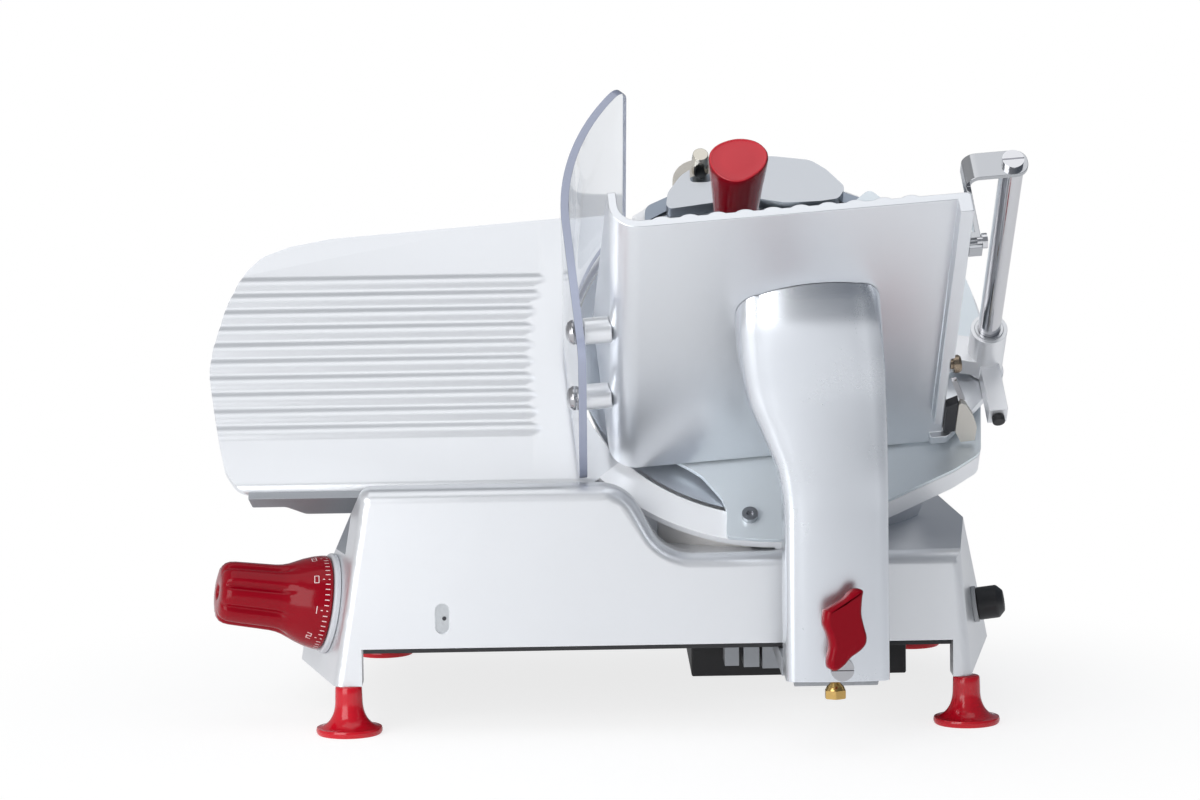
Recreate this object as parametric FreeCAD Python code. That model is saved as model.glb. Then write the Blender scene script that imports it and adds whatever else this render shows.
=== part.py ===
import FreeCAD, Part
import math
import os

# Gravity feed meat slicer with a 250 mm blade, in millimetres.
# World frame: +X to the operator's right, +Y away from the operator, +Z up.
# Pieces are drawn about the point midway between the feet, then moved so that the origin
# lies under the middle of the whole machine.
# Blade frame: x as world X, t up the blade's face, n out of the face towards the operator.
# Carriage frame: the blade frame turned about n, so that food leans on the fence.

# Blade and where it stands
blade_radius = 125.0
blade_lean = 50.0
blade_centre_x = 77.0
blade_centre_y = -45.0
blade_centre_z = 224.7
carriage_roll = 5.0

# Middle of the whole machine, seen from the middle of its feet
middle_x = -28.303
middle_y = -68.377

# Clearances
seat_gap = 0.2
part_gap = 0.3
shaft_gap = 0.05
blade_gap = 2.5

# Base casting
base_front_y = -152.0
base_rear_y = 150.0
base_bottom_z = 30.0
base_top_z = 152.0
deck_z = 109.0
panel_bottom_z = 53.0
wall = 5.0
recess_left_x = -137.0
recess_right_x = -128.0
recess_low_z = 62.0
recess_high_z = 81.0
recess_depth = 1.6
front_left_x = -199.8
middle_left_x = -227.7
rear_left_x = -207.0
left_draft = 20.3
front_right_x = 194.0
middle_right_x = 221.0
rear_right_x = 205.0
front_right_draft = 9.5
middle_right_draft = 24.0
middle_left_y = -45.0
middle_right_y = 0.0
shoulder_depth = 24.0
front_edge_radius = 9.0
side_corner_radius = 7.0
middle_corner_radius = 20.0
leg_width = 17.0
leg_depth = 20.0

# Feet
foot_front_x = 191.5
foot_rear_x = 183.5
foot_front_y = -147.5
foot_rear_y = 147.5
foot_height = base_bottom_z - seat_gap
foot_top_radius = 8.3
foot_base_radius = 20.3
foot_rim_height = 4.0
foot_neck_height = 9.0

# Blade housing, drum and motor
ring_inner_radius = blade_radius + blade_gap
ring_width = 19.5
ring_outer_radius = ring_inner_radius + ring_width
ring_thickness = 6.0
blade_face_n = 3.0
pan_floor_n = -11.0
pan_floor_thickness = 5.0
pan_radius = ring_inner_radius + 11.5
pan_disc_radius = blade_radius - 13.0
ring_start_angle = 221.0
ring_end_angle = 257.0
drum_radius = pan_disc_radius
drum_wall = 5.0
drum_rear_n = -120.0
motor_offset_t = -66.0
motor_radius = 38.0
motor_front_n = -84.0
motor_rear_n = -176.0
motor_cover_radius = 48.0
motor_cover_rear_n = -160.0
blade_pulley_radius = 48.0
motor_pulley_radius = 12.0
pulley_width = 11.0
pulley_front_n = -61.0
belt_thickness = 2.5
spindle_radius = 7.5
tie_rod_radius = 4.0
bearing_radius = 16.0
bearing_width = 9.0
bearing_tube_radius = 21.0
blade_bore_radius = 21.0
hub_flange_radius = 30.0
hub_flange_thickness = 3.4
blade_seat_n = -7.0
blade_thickness = 3.0
blade_screw_circle = 25.5
blade_screw_count = 3
cover_thickness = 3.0
cover_disc_radius = blade_radius - 17.0

# Tray under the base
tray_left_x = 25.0
tray_right_x = 165.0
tray_front_y = -26.0
tray_rear_y = 95.0
tray_bottom_z = 10.5
sheet = 2.5

# Thickness gauge
gauge_travel = 12.0
gauge_plate_thickness = 7.0
gauge_rib_height = 2.4
gauge_rib_half = 5.3
gauge_rib_pitch = 12.9
gauge_rib_first_t = 60.0
gauge_rib_count = 10
gauge_rod_x = -227.0
gauge_rod_t = -146.0
gauge_rod_radius = 6.0
gauge_rod_front_n = -20.0
gauge_rod_rear_n = -77.0
knob_y = -105.0
knob_z = 75.0
knob_turn = 300.0
knob_wall_swing = 14.6
knob_wall_rise = 9.2
knob_grip_radius = 20.0
index_ring_radius = 31.5
index_ring_thickness = 4.0
knob_shaft_radius = 5.0
cam_max_radius = 18.5
cam_thickness = 9.0
follower_radius = 5.0

# Carriage
carriage_travel_left = 240.0
carriage_travel_right = 10.0
bar_y = -54.0
bar_z = 66.0
bar_radius = 7.5
bush_wall = 3.0
block_wall = 3.0
block_left_x = 45.0
arm_left_x = 75.0
arm_right_x = 137.0
arm_front_y = -238.0
arm_rear_y = -191.0
arm_wall = 5.0
foot_plate_top_z = 49.5
foot_plate_bottom_z = 38.0
pivot_y = -209.0
pivot_z = 58.0
pivot_radius = 5.0
roller_radius = 8.0
roller_width = 8.0

# Table, in the carriage frame
table_left = -111.0
table_right = 97.0
table_under = -86.0
table_sheet = 5.0
table_far_n = 9.0
table_near_n = 260.0
table_fold_radius = 17.0
fence_near_top = -60.0
fence_far_top = 30.0
table_rib_pitch = 16.0
table_rib_height = 1.6
table_rib_half = 5.5
flange_drop = 9.0
flange_width = 7.0
flange_far_n = 41.0
flange_narrow_n = 112.0
flange_narrow_width = 4.5

# Splash guard, in the carriage frame
guard_face = -132.0
guard_sheet = 5.5
guard_bottom = -94.0
guard_straight_top = 3.0
guard_curve_radius = 138.0
guard_curve_angle = 49.0
guard_far_n = 7.0
guard_near_n = 152.0
stud_t = -72.0
stud_near_n = 142.0
stud_far_n = 72.0
stud_radius = 8.0

# Pusher
rod_x = 131.0
rod_t = -40.0
rod_radius = 7.0
rod_far_n = 12.0
rod_near_n = 226.0
hub_radius = 11.5
hub_far_n = 21.0
hub_near_n = 61.0
pusher_plate_n = 22.0
handle_x = -26.0
handle_t = 0.0
handle_far_n = 84.0


def vector(x, y, z):
    return FreeCAD.Vector(x, y, z)


def rotation(axis, degrees):
    return FreeCAD.Placement(vector(0, 0, 0), FreeCAD.Rotation(axis, degrees))


x_axis = vector(1, 0, 0)
y_axis = vector(0, 1, 0)
z_axis = vector(0, 0, 1)
blade_centre = vector(blade_centre_x, blade_centre_y, blade_centre_z)
blade_frame = FreeCAD.Placement(blade_centre, FreeCAD.Rotation(x_axis, blade_lean))
carriage_frame = blade_frame.multiply(rotation(z_axis, carriage_roll))


def placed(shape, frame):
    moved = shape.copy()
    moved.Placement = frame.multiply(moved.Placement)
    return moved


def cylinder(radius, low, high, x=0.0, y=0.0):
    return Part.makeCylinder(radius, high - low, vector(x, y, low))


def tube(outer, inner, low, high, x=0.0, y=0.0):
    return cylinder(outer, low, high, x, y).cut(cylinder(inner, low - 1, high + 1, x, y))


def rod_between(start, end, radius):
    return Part.makeCylinder(radius, (end - start).Length, start, end - start)


def block(low, high):
    size = vector(*high) - vector(*low)
    return Part.makeBox(size.x, size.y, size.z, vector(*low))


def rounded_wire(points, radii):
    """Closed outline through the points, each corner rounded by its radius."""
    count = len(points)
    if not isinstance(radii, (list, tuple)):
        radii = [radii] * count
    entries = []
    for i in range(count):
        here = vector(*points[i], 0)
        before = vector(*points[i - 1], 0) - here
        after = vector(*points[(i + 1) % count], 0) - here
        before.normalize()
        after.normalize()
        half = before.getAngle(after) / 2
        if radii[i] <= 0 or abs(half - math.pi / 2) < 1e-6:
            entries.append((here, None, here))
            continue
        reach = radii[i] / math.tan(half)
        middle = before + after
        middle.normalize()
        top = here + middle * (radii[i] / math.sin(half) - radii[i])
        entries.append((here + before * reach, top, here + after * reach))
    edges = []
    for i in range(count):
        start, top, end = entries[i]
        if top is not None:
            edges.append(Part.Arc(start, top, end).toShape())
        following = entries[(i + 1) % count][0]
        if (following - end).Length > 1e-6:
            edges.append(Part.makeLine(end, following))
    return Part.Wire(edges)


def prism(points, low, high, radii=0.0):
    """Outline in the frame's first two axes, extruded along the third."""
    face = Part.Face(rounded_wire(points, radii))
    face.translate(vector(0, 0, low))
    return face.extrude(vector(0, 0, high - low))


# A frame whose third axis runs along world -Y, for outlines drawn in X and Z
front_frame = rotation(x_axis, 90)
# A frame whose third axis runs along world X, for outlines drawn in Y and Z
side_frame = FreeCAD.Placement(vector(0, 0, 0), FreeCAD.Rotation(vector(1, 1, 1), 120))


def front_prism(points, front_y, rear_y, radii=0.0):
    return placed(prism(points, -rear_y, -front_y, radii), front_frame)


def side_prism(points, left_x, right_x, radii=0.0):
    return placed(prism(points, left_x, right_x, radii), side_frame)


def grown(points):
    """Outline drawn about a 125 mm blade, grown with the blade's radius."""
    growth = blade_radius / 125.0
    return [(x * growth, t * growth) for x, t in points]


def polar(radius, degrees):
    angle = math.radians(degrees)
    return (radius * math.cos(angle), radius * math.sin(angle))


def sector(inner, outer, start, end, low, high):
    """Part of a ring between two angles in degrees."""
    middle = (start + end) / 2
    corners = [vector(*polar(r, a), low) for r, a in
               ((outer, start), (outer, middle), (outer, end), (inner, end), (inner, middle), (inner, start))]
    edges = [
        Part.Arc(corners[0], corners[1], corners[2]).toShape(),
        Part.makeLine(corners[2], corners[3]),
        Part.Arc(corners[3], corners[4], corners[5]).toShape(),
        Part.makeLine(corners[5], corners[0]),
    ]
    return Part.Face(Part.Wire(edges)).extrude(vector(0, 0, high - low))


def revolved(profile, frame=None):
    """Profile of radius and height pairs, turned about the third axis."""
    points = [vector(r, 0, h) for r, h in profile]
    points.append(points[0])
    shape = Part.Face(Part.makePolygon(points)).revolve(vector(0, 0, 0), z_axis, 360)
    return placed(shape, frame) if frame else shape


def union(shapes):
    result = shapes[0]
    for other in shapes[1:]:
        result = result.fuse(other)
    return result.removeSplitter()


def frame_along(origin, direction):
    """A frame at the origin whose third axis runs along the direction."""
    return FreeCAD.Placement(origin, FreeCAD.Rotation(z_axis, direction))


def save(name, solids):
    if not isinstance(solids, (list, tuple)):
        solids = [solids]
    pieces = []
    for shape in solids:
        pieces.extend(shape.Solids)
    shape = pieces[0] if len(pieces) == 1 else Part.makeCompound(pieces)
    if not shape.isValid():
        print("not valid:", name)
    shape.translate(vector(-middle_x, -middle_y, 0))
    shape.exportStep(os.path.join("parts", name + ".step"))
    box = shape.BoundBox
    print("%-22s %2d solids %9.0f mm3  x %.0f %.0f  y %.0f %.0f  z %.0f %.0f" % (
        name, len(pieces), shape.Volume, box.XMin, box.XMax, box.YMin, box.YMax, box.ZMin, box.ZMax))


os.makedirs("parts", exist_ok=True)

# Base casting: one thin aluminium casting with four legs, a raised shoulder at the left,
# a low deck and a slanted drum that carries the blade
shoulder_corner_x = -18.0
deck_corner_x = 6.0
shoulder_curve_radius = 28.0
left_edge = ((-234.5, 20.0), (-203.0, 103.0), (-181.0, base_top_z))
leg_inner_left = front_left_x + leg_width
leg_inner_right = 183.0
leg_inner_rear = 175.0
leg_top_z = 60.0
base_reach = 25.5 - left_edge[0][0]


def base_section(z, inset):
    """Outline of the base at a height, moved inwards."""
    share = (z - base_bottom_z) / (base_top_z - base_bottom_z)
    left = left_draft * share + inset
    return [
        vector(front_left_x + left, base_front_y + inset, z),
        vector(front_right_x - front_right_draft * share - inset, base_front_y + inset, z),
        vector(middle_right_x - middle_right_draft * share - inset, middle_right_y, z),
        vector(rear_right_x - front_right_draft * share - inset, base_rear_y - inset, z),
        vector(rear_left_x + left, base_rear_y - inset, z),
        vector(middle_left_x + left, middle_left_y, z),
    ]


def base_body(inset, low, high):
    wires = []
    for z in (low, high):
        points = base_section(z, inset)
        wires.append(Part.makePolygon(points + [points[0]]))
    return Part.makeLoft(wires, True, True)


def left_wall_x(y, z):
    """World x of the outside of the left wall in front of its corner."""
    share = (z - base_bottom_z) / (base_top_z - base_bottom_z)
    along = (y - base_front_y) / (middle_left_y - base_front_y)
    return front_left_x + (middle_left_x - front_left_x) * along + left_draft * share


def right_wall_x(y, z):
    """World x of the outside of the right wall in front of its corner."""
    share = (z - base_bottom_z) / (base_top_z - base_bottom_z)
    along = (y - base_front_y) / (middle_right_y - base_front_y)
    front = front_right_x - front_right_draft * share
    middle = middle_right_x - middle_right_draft * share
    return front + (middle - front) * along


shoulder_rear_y = base_front_y + shoulder_depth
outer_profile = [
    left_edge[2], (shoulder_corner_x, base_top_z), (deck_corner_x, deck_z),
    (base_reach, deck_z), (base_reach, 20.0), left_edge[0], left_edge[1]]
front_form = front_prism(outer_profile, base_front_y, base_rear_y + 10,
                         [front_edge_radius, shoulder_curve_radius, shoulder_curve_radius, 0, 0, 0, 0])
front_edges = [edge for edge in front_form.Edges
               if all(abs(point.Y - base_front_y) < 0.01 for point in edge.Vertexes)
               and max(point.Z for point in edge.Vertexes) > deck_z - 1
               and max(point.X for point in edge.Vertexes) - min(point.X for point in edge.Vertexes) > 1]
front_form = front_form.makeFillet(front_edge_radius, front_edges)
body = base_body(0.0, base_bottom_z, base_top_z)
upright_edges = [edge for edge in body.Edges if edge.BoundBox.ZLength > base_top_z - base_bottom_z - 1]
middle_edges = [edge for edge in upright_edges
                if min(abs(edge.Vertexes[0].Y - middle_left_y), abs(edge.Vertexes[0].Y - middle_right_y)) < 1]
body = body.makeFillet(middle_corner_radius, middle_edges)
corner_edges = [edge for edge in body.Edges
                if edge.BoundBox.ZLength > base_top_z - base_bottom_z - 1
                and abs(edge.Vertexes[0].Y) > base_rear_y - 1]
body = body.makeFillet(side_corner_radius, corner_edges)
outer = body.common(front_form)
outer = outer.cut(block((-base_reach, shoulder_rear_y, deck_z), (base_reach, base_rear_y + 10,
        base_top_z + 10)))
drum_front_n = pan_floor_n - pan_floor_thickness - seat_gap
drum_outer = placed(cylinder(drum_radius, drum_rear_n, drum_front_n), blade_frame)
motor_cover = placed(cylinder(motor_cover_radius, motor_cover_rear_n, drum_rear_n + 10, 0, motor_offset_t),
                     blade_frame).common(block((-base_reach, base_front_y, deck_z - wall / 2),
                                               (base_reach, base_rear_y, base_reach)))
web = union([
    sector(drum_radius - 4, ring_inner_radius + 6.8, ring_start_angle + 2, 238.0, -60.0, drum_front_n),
    sector(ring_inner_radius + 6.5, ring_outer_radius - 5, ring_start_angle + 2, 238.0,
           -60.0, blade_face_n - ring_thickness - seat_gap)])
casting = outer.fuse([drum_outer, motor_cover, placed(web, blade_frame)])

# The hollow inside: under the deck, in the shoulder, in the drum and around the motor
inner_profile = [
    (left_edge[2][0] + wall, base_top_z - wall), (shoulder_corner_x - wall / 2, base_top_z - wall),
    (deck_corner_x - wall / 2, deck_z - wall), (base_reach, deck_z - wall), (base_reach, 0.0),
    (left_edge[0][0] + wall, 0.0), (left_edge[1][0] + wall, left_edge[1][1])]
inner = base_body(wall, base_bottom_z - 10, base_top_z).common(
    front_prism(inner_profile, base_front_y - 10, base_rear_y + 10,
                [front_edge_radius - wall, shoulder_curve_radius, shoulder_curve_radius, 0, 0, 0, 0]))
inner = inner.cut(block((-base_reach, shoulder_rear_y - wall, deck_z - wall),
                        (base_reach, base_rear_y, base_top_z)))
for low, high in (
        ((-base_reach, base_front_y), (leg_inner_left, base_front_y + leg_depth)),
        ((leg_inner_right, base_front_y), (base_reach, base_front_y + leg_depth)),
        ((-base_reach, base_rear_y - leg_depth), (-leg_inner_rear, base_rear_y)),
        ((leg_inner_rear, base_rear_y - leg_depth), (base_reach, base_rear_y))):
    inner = inner.cut(block((*low, 0.0), (*high, leg_top_z)))
motor_clear_radius = motor_radius + 1.0
drum_inner = cylinder(drum_radius - drum_wall, drum_rear_n + drum_wall, drum_front_n + 5)
motor_clear = cylinder(motor_clear_radius, motor_cover_rear_n + drum_wall, motor_front_n + 4, 0,
                       motor_offset_t)
casting = casting.cut([inner, placed(drum_inner, blade_frame), placed(motor_clear, blade_frame)])
for x, front, rear in ((leg_inner_left, base_front_y - 10, base_front_y + 12),
                       (-leg_inner_rear, base_rear_y - 12, base_rear_y + 10)):
    right = leg_inner_right if x == leg_inner_left else leg_inner_rear
    casting = casting.cut(block((x, front, 0.0), (right, rear, panel_bottom_z)))

# Frame of the thickness knob: third axis out of the slanted left wall
knob_axis = vector(
    -math.cos(math.radians(knob_wall_rise)) * math.cos(math.radians(knob_wall_swing)),
    -math.cos(math.radians(knob_wall_rise)) * math.sin(math.radians(knob_wall_swing)),
    math.sin(math.radians(knob_wall_rise)))
knob_face = vector(left_wall_x(knob_y, knob_z), knob_y, knob_z)
knob_frame = frame_along(knob_face, knob_axis)
knob_boss_depth = wall + 1.4
cam_front_s = -knob_boss_depth - part_gap
cam_rear_s = cam_front_s - cam_thickness

# Gauge slide: a rod under the deck, held by a boss at its front end and a lug at its rear end
gauge_bush_radius = gauge_rod_radius + 5.0
gauge_bush_front_n = -30.0
gauge_bush_length = 25.0
lug_thickness = 6.5
lug_front_n = gauge_rod_rear_n + 2.0 + lug_thickness
rod_boss_rear_n = gauge_bush_front_n + 2.0
deck_inside = block((-base_reach, base_front_y, 0), (base_reach, base_rear_y, deck_z - 1.0))
rod_lug = placed(block((gauge_rod_x - 9, gauge_rod_t - 11, lug_front_n - lug_thickness),
                       (gauge_rod_x + 9, gauge_rod_t + 53, lug_front_n)), blade_frame)
rod_boss = placed(block((gauge_rod_x - 10, gauge_rod_t - 12, rod_boss_rear_n),
                        (gauge_rod_x + 10, gauge_rod_t + 15, rod_boss_rear_n + 10)), blade_frame)
casting = casting.fuse([rod_lug.common(deck_inside), rod_boss.common(deck_inside)])

# Bar bosses on both side walls, and the boss behind the knob
bar_boss_radius = bar_radius + 5.0
bar_left_x = left_wall_x(bar_y, bar_z) + wall + 1.0
bar_right_x = right_wall_x(bar_y, bar_z) - wall - 1.0
bar_hold = 13.0
for start, end in ((bar_left_x - 3, bar_left_x + bar_hold), (bar_right_x - bar_hold, bar_right_x + 3)):
    casting = casting.fuse(rod_between(vector(start, bar_y, bar_z), vector(end, bar_y, bar_z),
                                       bar_boss_radius))
casting = casting.fuse(placed(cylinder(knob_shaft_radius + 5, -knob_boss_depth, -1.0), knob_frame))

# Holes: bar, gauge rod, knob shaft, gauge window, cable, knob wall
gauge_arm_left_x = -255.0
gauge_arm_right_x = -241.0
window = block((blade_centre_x + gauge_arm_left_x - 2, -119.0, deck_z - 12),
               (blade_centre_x + gauge_arm_right_x + 2, -67.0, deck_z + 5))
gland_y = -70.0
gland_z = 62.0
gland_radius = 7.0
gland_point = vector(right_wall_x(gland_y, gland_z), gland_y, gland_z)
gland_axis = (vector(0, 1, 0) * (right_wall_x(gland_y, gland_z) - right_wall_x(gland_y + 1, gland_z))
              + vector(0, 0, 1) * (right_wall_x(gland_y, gland_z) - right_wall_x(gland_y, gland_z + 1))
              + vector(1, 0, 0))
gland_frame = frame_along(gland_point, gland_axis)

# Frame of the switch plate, on the left wall behind its corner
switch_y = 75.0
switch_z = 72.0
button_spacing = 21.0
switch_button_radius = 8.0
rear_slope = (rear_left_x - middle_left_x) / (base_rear_y - middle_left_y)
draft_slope = left_draft / (base_top_z - base_bottom_z)
switch_x = middle_left_x + rear_slope * (switch_y - middle_left_y) + draft_slope * (switch_z - base_bottom_z)
switch_frame = frame_along(vector(switch_x, switch_y, switch_z), vector(-1.0, rear_slope, draft_slope))
button_holes = [cylinder(switch_button_radius + part_gap, -wall - 5, 5, 0, side * button_spacing / 2)
                for side in (-1, 1)]
casting = casting.cut([placed(hole, switch_frame) for hole in button_holes])
recess_radius = (recess_right_x - recess_left_x) / 2 - 0.1
casting = casting.cut(front_prism([(recess_left_x, recess_low_z), (recess_right_x, recess_low_z),
                                   (recess_right_x, recess_high_z), (recess_left_x, recess_high_z)],
                                  base_front_y - 1, base_front_y + recess_depth, recess_radius))
casting = casting.cut([
    rod_between(vector(bar_left_x, bar_y, bar_z), vector(bar_right_x, bar_y, bar_z), bar_radius + shaft_gap),
    placed(cylinder(gauge_rod_radius + shaft_gap, gauge_rod_rear_n, gauge_rod_front_n,
                    gauge_rod_x, gauge_rod_t), blade_frame),
    placed(cylinder(knob_shaft_radius + shaft_gap, -40, 2), knob_frame),
    placed(cylinder(gland_radius + shaft_gap, -20, 10), gland_frame),
    placed(cylinder(tie_rod_radius + shaft_gap, drum_rear_n - 5, drum_rear_n + 10), blade_frame),
    window])
save("base_casting", casting)

# Bottom cover with slots for the carriage neck, the roller post and the motor
slot_left_x = block_left_x - carriage_travel_left - 3
slot_right_x = arm_right_x + carriage_travel_right + 3
neck_half = 9.0
post_left_x = 104.0
post_right_x = 116.0
post_front_y = -130.0
post_rear_y = -122.0
tray_wall = 2.5
cover_top_z = panel_bottom_z - seat_gap
cover_outline = [
    (leg_inner_left + 1, base_front_y + 0.5), (leg_inner_right - 1, base_front_y + 0.5),
    (leg_inner_right - 1, base_front_y + leg_depth + 1), (middle_right_x - 17, middle_right_y),
    (leg_inner_rear - 1, base_rear_y - leg_depth - 1), (leg_inner_rear - 1, base_rear_y - 0.5),
    (-leg_inner_rear + 1, base_rear_y - 0.5), (-leg_inner_rear + 1, base_rear_y - leg_depth - 1),
    (middle_left_x + 17, middle_left_y), (leg_inner_left + 1, base_front_y + leg_depth + 1)]
bottom_cover = prism(cover_outline, cover_top_z - sheet, cover_top_z)
bottom_cover = bottom_cover.cut([
    block((slot_left_x, bar_y - neck_half - 3, 0), (slot_right_x, bar_y + neck_half + 3, 90)),
    block((post_left_x - carriage_travel_left - 3, post_front_y - 3, 0),
          (post_right_x + carriage_travel_right + 3, post_rear_y + 3, 90)),
    block((tray_left_x + 7, tray_front_y + 7, 0), (tray_right_x - 7, tray_rear_y - 7, 90))])
save("bottom_cover", bottom_cover)
tray_top_z = cover_top_z - sheet - seat_gap
tray = block((tray_left_x, tray_front_y, tray_bottom_z), (tray_right_x, tray_rear_y, tray_top_z))
tray = tray.cut(block((tray_left_x + tray_wall, tray_front_y + tray_wall, tray_bottom_z + tray_wall),
                      (tray_right_x - tray_wall, tray_rear_y - tray_wall, 90)))
save("motor_tray", tray)

# Feet: flared rubber cups under the legs
foot_profile = [(0, 0), (foot_base_radius - 1.2, 0), (foot_base_radius, 1.2), (foot_base_radius,
        foot_rim_height)]
foot_step_count = 6
for i in range(1, foot_step_count + 1):
    share = i / foot_step_count
    turn = math.radians(90 * share)
    foot_profile.append((
        foot_top_radius + (foot_base_radius - foot_top_radius) * (1 - math.sin(turn)),
        foot_rim_height + (foot_height - foot_neck_height - foot_rim_height) * (1 - math.cos(turn))))
foot_profile.extend([(foot_top_radius, foot_height), (0, foot_height)])
feet = []
for x, y in ((-foot_front_x, foot_front_y), (foot_front_x, foot_front_y),
             (-foot_rear_x, foot_rear_y), (foot_rear_x, foot_rear_y)):
    foot = revolved(foot_profile)
    foot.translate(vector(x, y, 0))
    feet.append(foot)
save("rubber_feet", feet)

# Cable gland on the right wall, with its washer outside the wall
washer_thickness = 3.0
gland_cap_radius = 10.5
gland = union([
    cylinder(gland_radius, -8, washer_thickness + 0.5),
    cylinder(gland_cap_radius, washer_thickness + seat_gap, 16),
    Part.makeCone(gland_cap_radius, 6.5, 4, vector(0, 0, 16))]).cut(cylinder(3.5, -20, 30))
gland_washer = tube(11.5, gland_radius + 0.1, seat_gap, washer_thickness)
save("cable_gland", placed(gland, gland_frame))
save("gland_washer", placed(gland_washer, gland_frame))

# Blade housing: a pan behind the blade, its rim at the right and top, and the ring guard below left
cover_bolt, cover_screw = grown([(-18.0, -130.0), (105.0, -68.0)])
bolt_radius = 2.5
pan_back_n = pan_floor_n - pan_floor_thickness
ring_back_n = blade_face_n - ring_thickness
lobe = grown([(3.0, -148.0), (71.0, -118.0), (112.0, -97.0), (129.0, -85.0), (132.0, -45.0), (136.0, 6.0)])
lobe_radii = [0, 60, 60, 8, 120, 0]
rim_end_angle = 128.0
ring_start = sector(1.0, ring_outer_radius, ring_start_angle, 271.0, pan_back_n, blade_face_n)
rim = sector(1.0, pan_radius, 2.0, rim_end_angle, pan_back_n, blade_face_n)
lobe_solid = prism([(0.0, 0.0)] + lobe, pan_back_n, blade_face_n, [0] + lobe_radii)
housing = union([cylinder(pan_disc_radius, pan_back_n, blade_face_n), ring_start, rim, lobe_solid])
sharpener_seat_n = -0.2
stone_x = -40.0
stone_t = ring_inner_radius + 13.5
stone_radius = 18.0
stone_rear_n = -8.0
stone_thickness = 4.5
housing = housing.cut([
    cylinder(ring_inner_radius, pan_floor_n, 20),
    sector(pan_disc_radius + 22, 200, ring_start_angle - 5, ring_end_angle + 12, pan_back_n - 5, ring_back_n),
    sector(blade_radius - 25, blade_radius + 75, 55.0, rim_end_angle + 5, sharpener_seat_n, 20),
    cylinder(stone_radius + 1.0, stone_rear_n - 1.0, 20, stone_x, stone_t)])
pulley_rear_n = pulley_front_n - pulley_width
bearing_tube_rear_n = pulley_front_n + 2.0
housing = housing.fuse(cylinder(bearing_tube_radius, bearing_tube_rear_n, pan_back_n + 1)).removeSplitter()
bearing_front_n = pan_floor_n - 2.0
bearing_rear_n = bearing_tube_rear_n + 1.0
housing = housing.cut([
    cylinder(bearing_radius, bearing_front_n - bearing_width, 5),
    cylinder(bearing_radius - 3, -90, 5),
    cylinder(bearing_radius, -90, bearing_rear_n + bearing_width),
    cylinder(bolt_radius, -30, 5, *cover_bolt)])
below_deck = block((-base_reach, base_front_y - 50, 0), (base_reach, base_rear_y, deck_z + seat_gap))
save("blade_housing", placed(housing, blade_frame).cut(below_deck))

# Spindle, bearings, blade and pulley
hub_front_n = blade_seat_n - 0.05
hub_rear_n = hub_front_n - hub_flange_thickness
bearings = []
for low in (bearing_front_n - bearing_width, bearing_rear_n):
    bearings.append(placed(tube(bearing_radius, spindle_radius + shaft_gap, low, low + bearing_width),
                           blade_frame))
save("spindle_bearings", bearings)
screw_radius = 2.5
screw_head_radius = 4.3
screw_head_height = 2.4
screw_places = [polar(blade_screw_circle, 90 + 360 * i / blade_screw_count) for i in range(blade_screw_count)]
spindle = union([
    cylinder(spindle_radius, pulley_rear_n - 3, hub_rear_n + 0.5),
    cylinder(hub_flange_radius, hub_rear_n, hub_front_n),
    cylinder(blade_bore_radius - shaft_gap, hub_front_n - 0.5, blade_seat_n + blade_thickness - 0.5)])
spindle = spindle.cut([cylinder(tie_rod_radius + 0.3, -130, 10)]
                      + [cylinder(screw_radius, -20, 0, x, y) for x, y in screw_places])
save("blade_spindle", placed(spindle, blade_frame))
blade_front_n = blade_seat_n + blade_thickness
blade = revolved([
    (blade_bore_radius, blade_seat_n), (blade_radius - 33, blade_seat_n), (blade_radius - 17,
            blade_seat_n + 2.2),
    (blade_radius - 6, blade_face_n - 4.2), (blade_radius, blade_face_n - 0.2), (blade_radius, blade_face_n),
    (blade_radius - 15, blade_face_n - 4.5), (blade_radius - 33, blade_front_n), (blade_bore_radius,
            blade_front_n)])
blade = blade.cut([cylinder(screw_radius + 0.2, -20, 0, x, y) for x, y in screw_places])
save("blade", placed(blade, blade_frame))
blade_screws = []
for x, y in screw_places:
    screw = cylinder(screw_radius - shaft_gap, hub_rear_n, blade_front_n + 0.5, x, y).fuse(
        cylinder(screw_head_radius, blade_front_n + 0.02, blade_front_n + screw_head_height, x, y))
    slot = block((x - 0.6, y - 6, blade_front_n + screw_head_height - 1.2), (x + 0.6, y + 6,
            blade_front_n + 5))
    blade_screws.append(placed(screw.cut(slot), blade_frame))
save("blade_screws", blade_screws)


def ribbed_pulley(radius, width, bore, low):
    """Pulley with side lips and shallow grooves for a ribbed belt."""
    groove_count = 4
    profile = [(bore, 0), (radius + 1, 0), (radius + 1, 1.2), (radius, 1.4)]
    pitch = (width - 2.8) / groove_count
    for i in range(groove_count):
        start = 1.4 + i * pitch
        profile.extend([(radius, start + pitch * 0.2), (radius - 0.8, start + pitch * 0.5),
                        (radius, start + pitch * 0.8)])
    profile.extend([(radius, width - 1.4), (radius + 1, width - 1.2), (radius + 1, width), (bore, width)])
    pulley = revolved(profile)
    pulley.translate(vector(0, 0, low))
    return pulley


save("blade_pulley", placed(ribbed_pulley(blade_pulley_radius, pulley_width, spindle_radius,
                                          pulley_rear_n), blade_frame))
motor_shaft_radius = 5.0
motor_pulley = ribbed_pulley(motor_pulley_radius, pulley_width, motor_shaft_radius, pulley_rear_n)
motor_pulley.translate(vector(0, motor_offset_t, 0))
save("motor_pulley", placed(motor_pulley, blade_frame))
motor_shaft = cylinder(motor_shaft_radius, motor_rear_n - 4, pulley_front_n + 1, 0, motor_offset_t)
save("motor_shaft", placed(motor_shaft, blade_frame))


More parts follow.
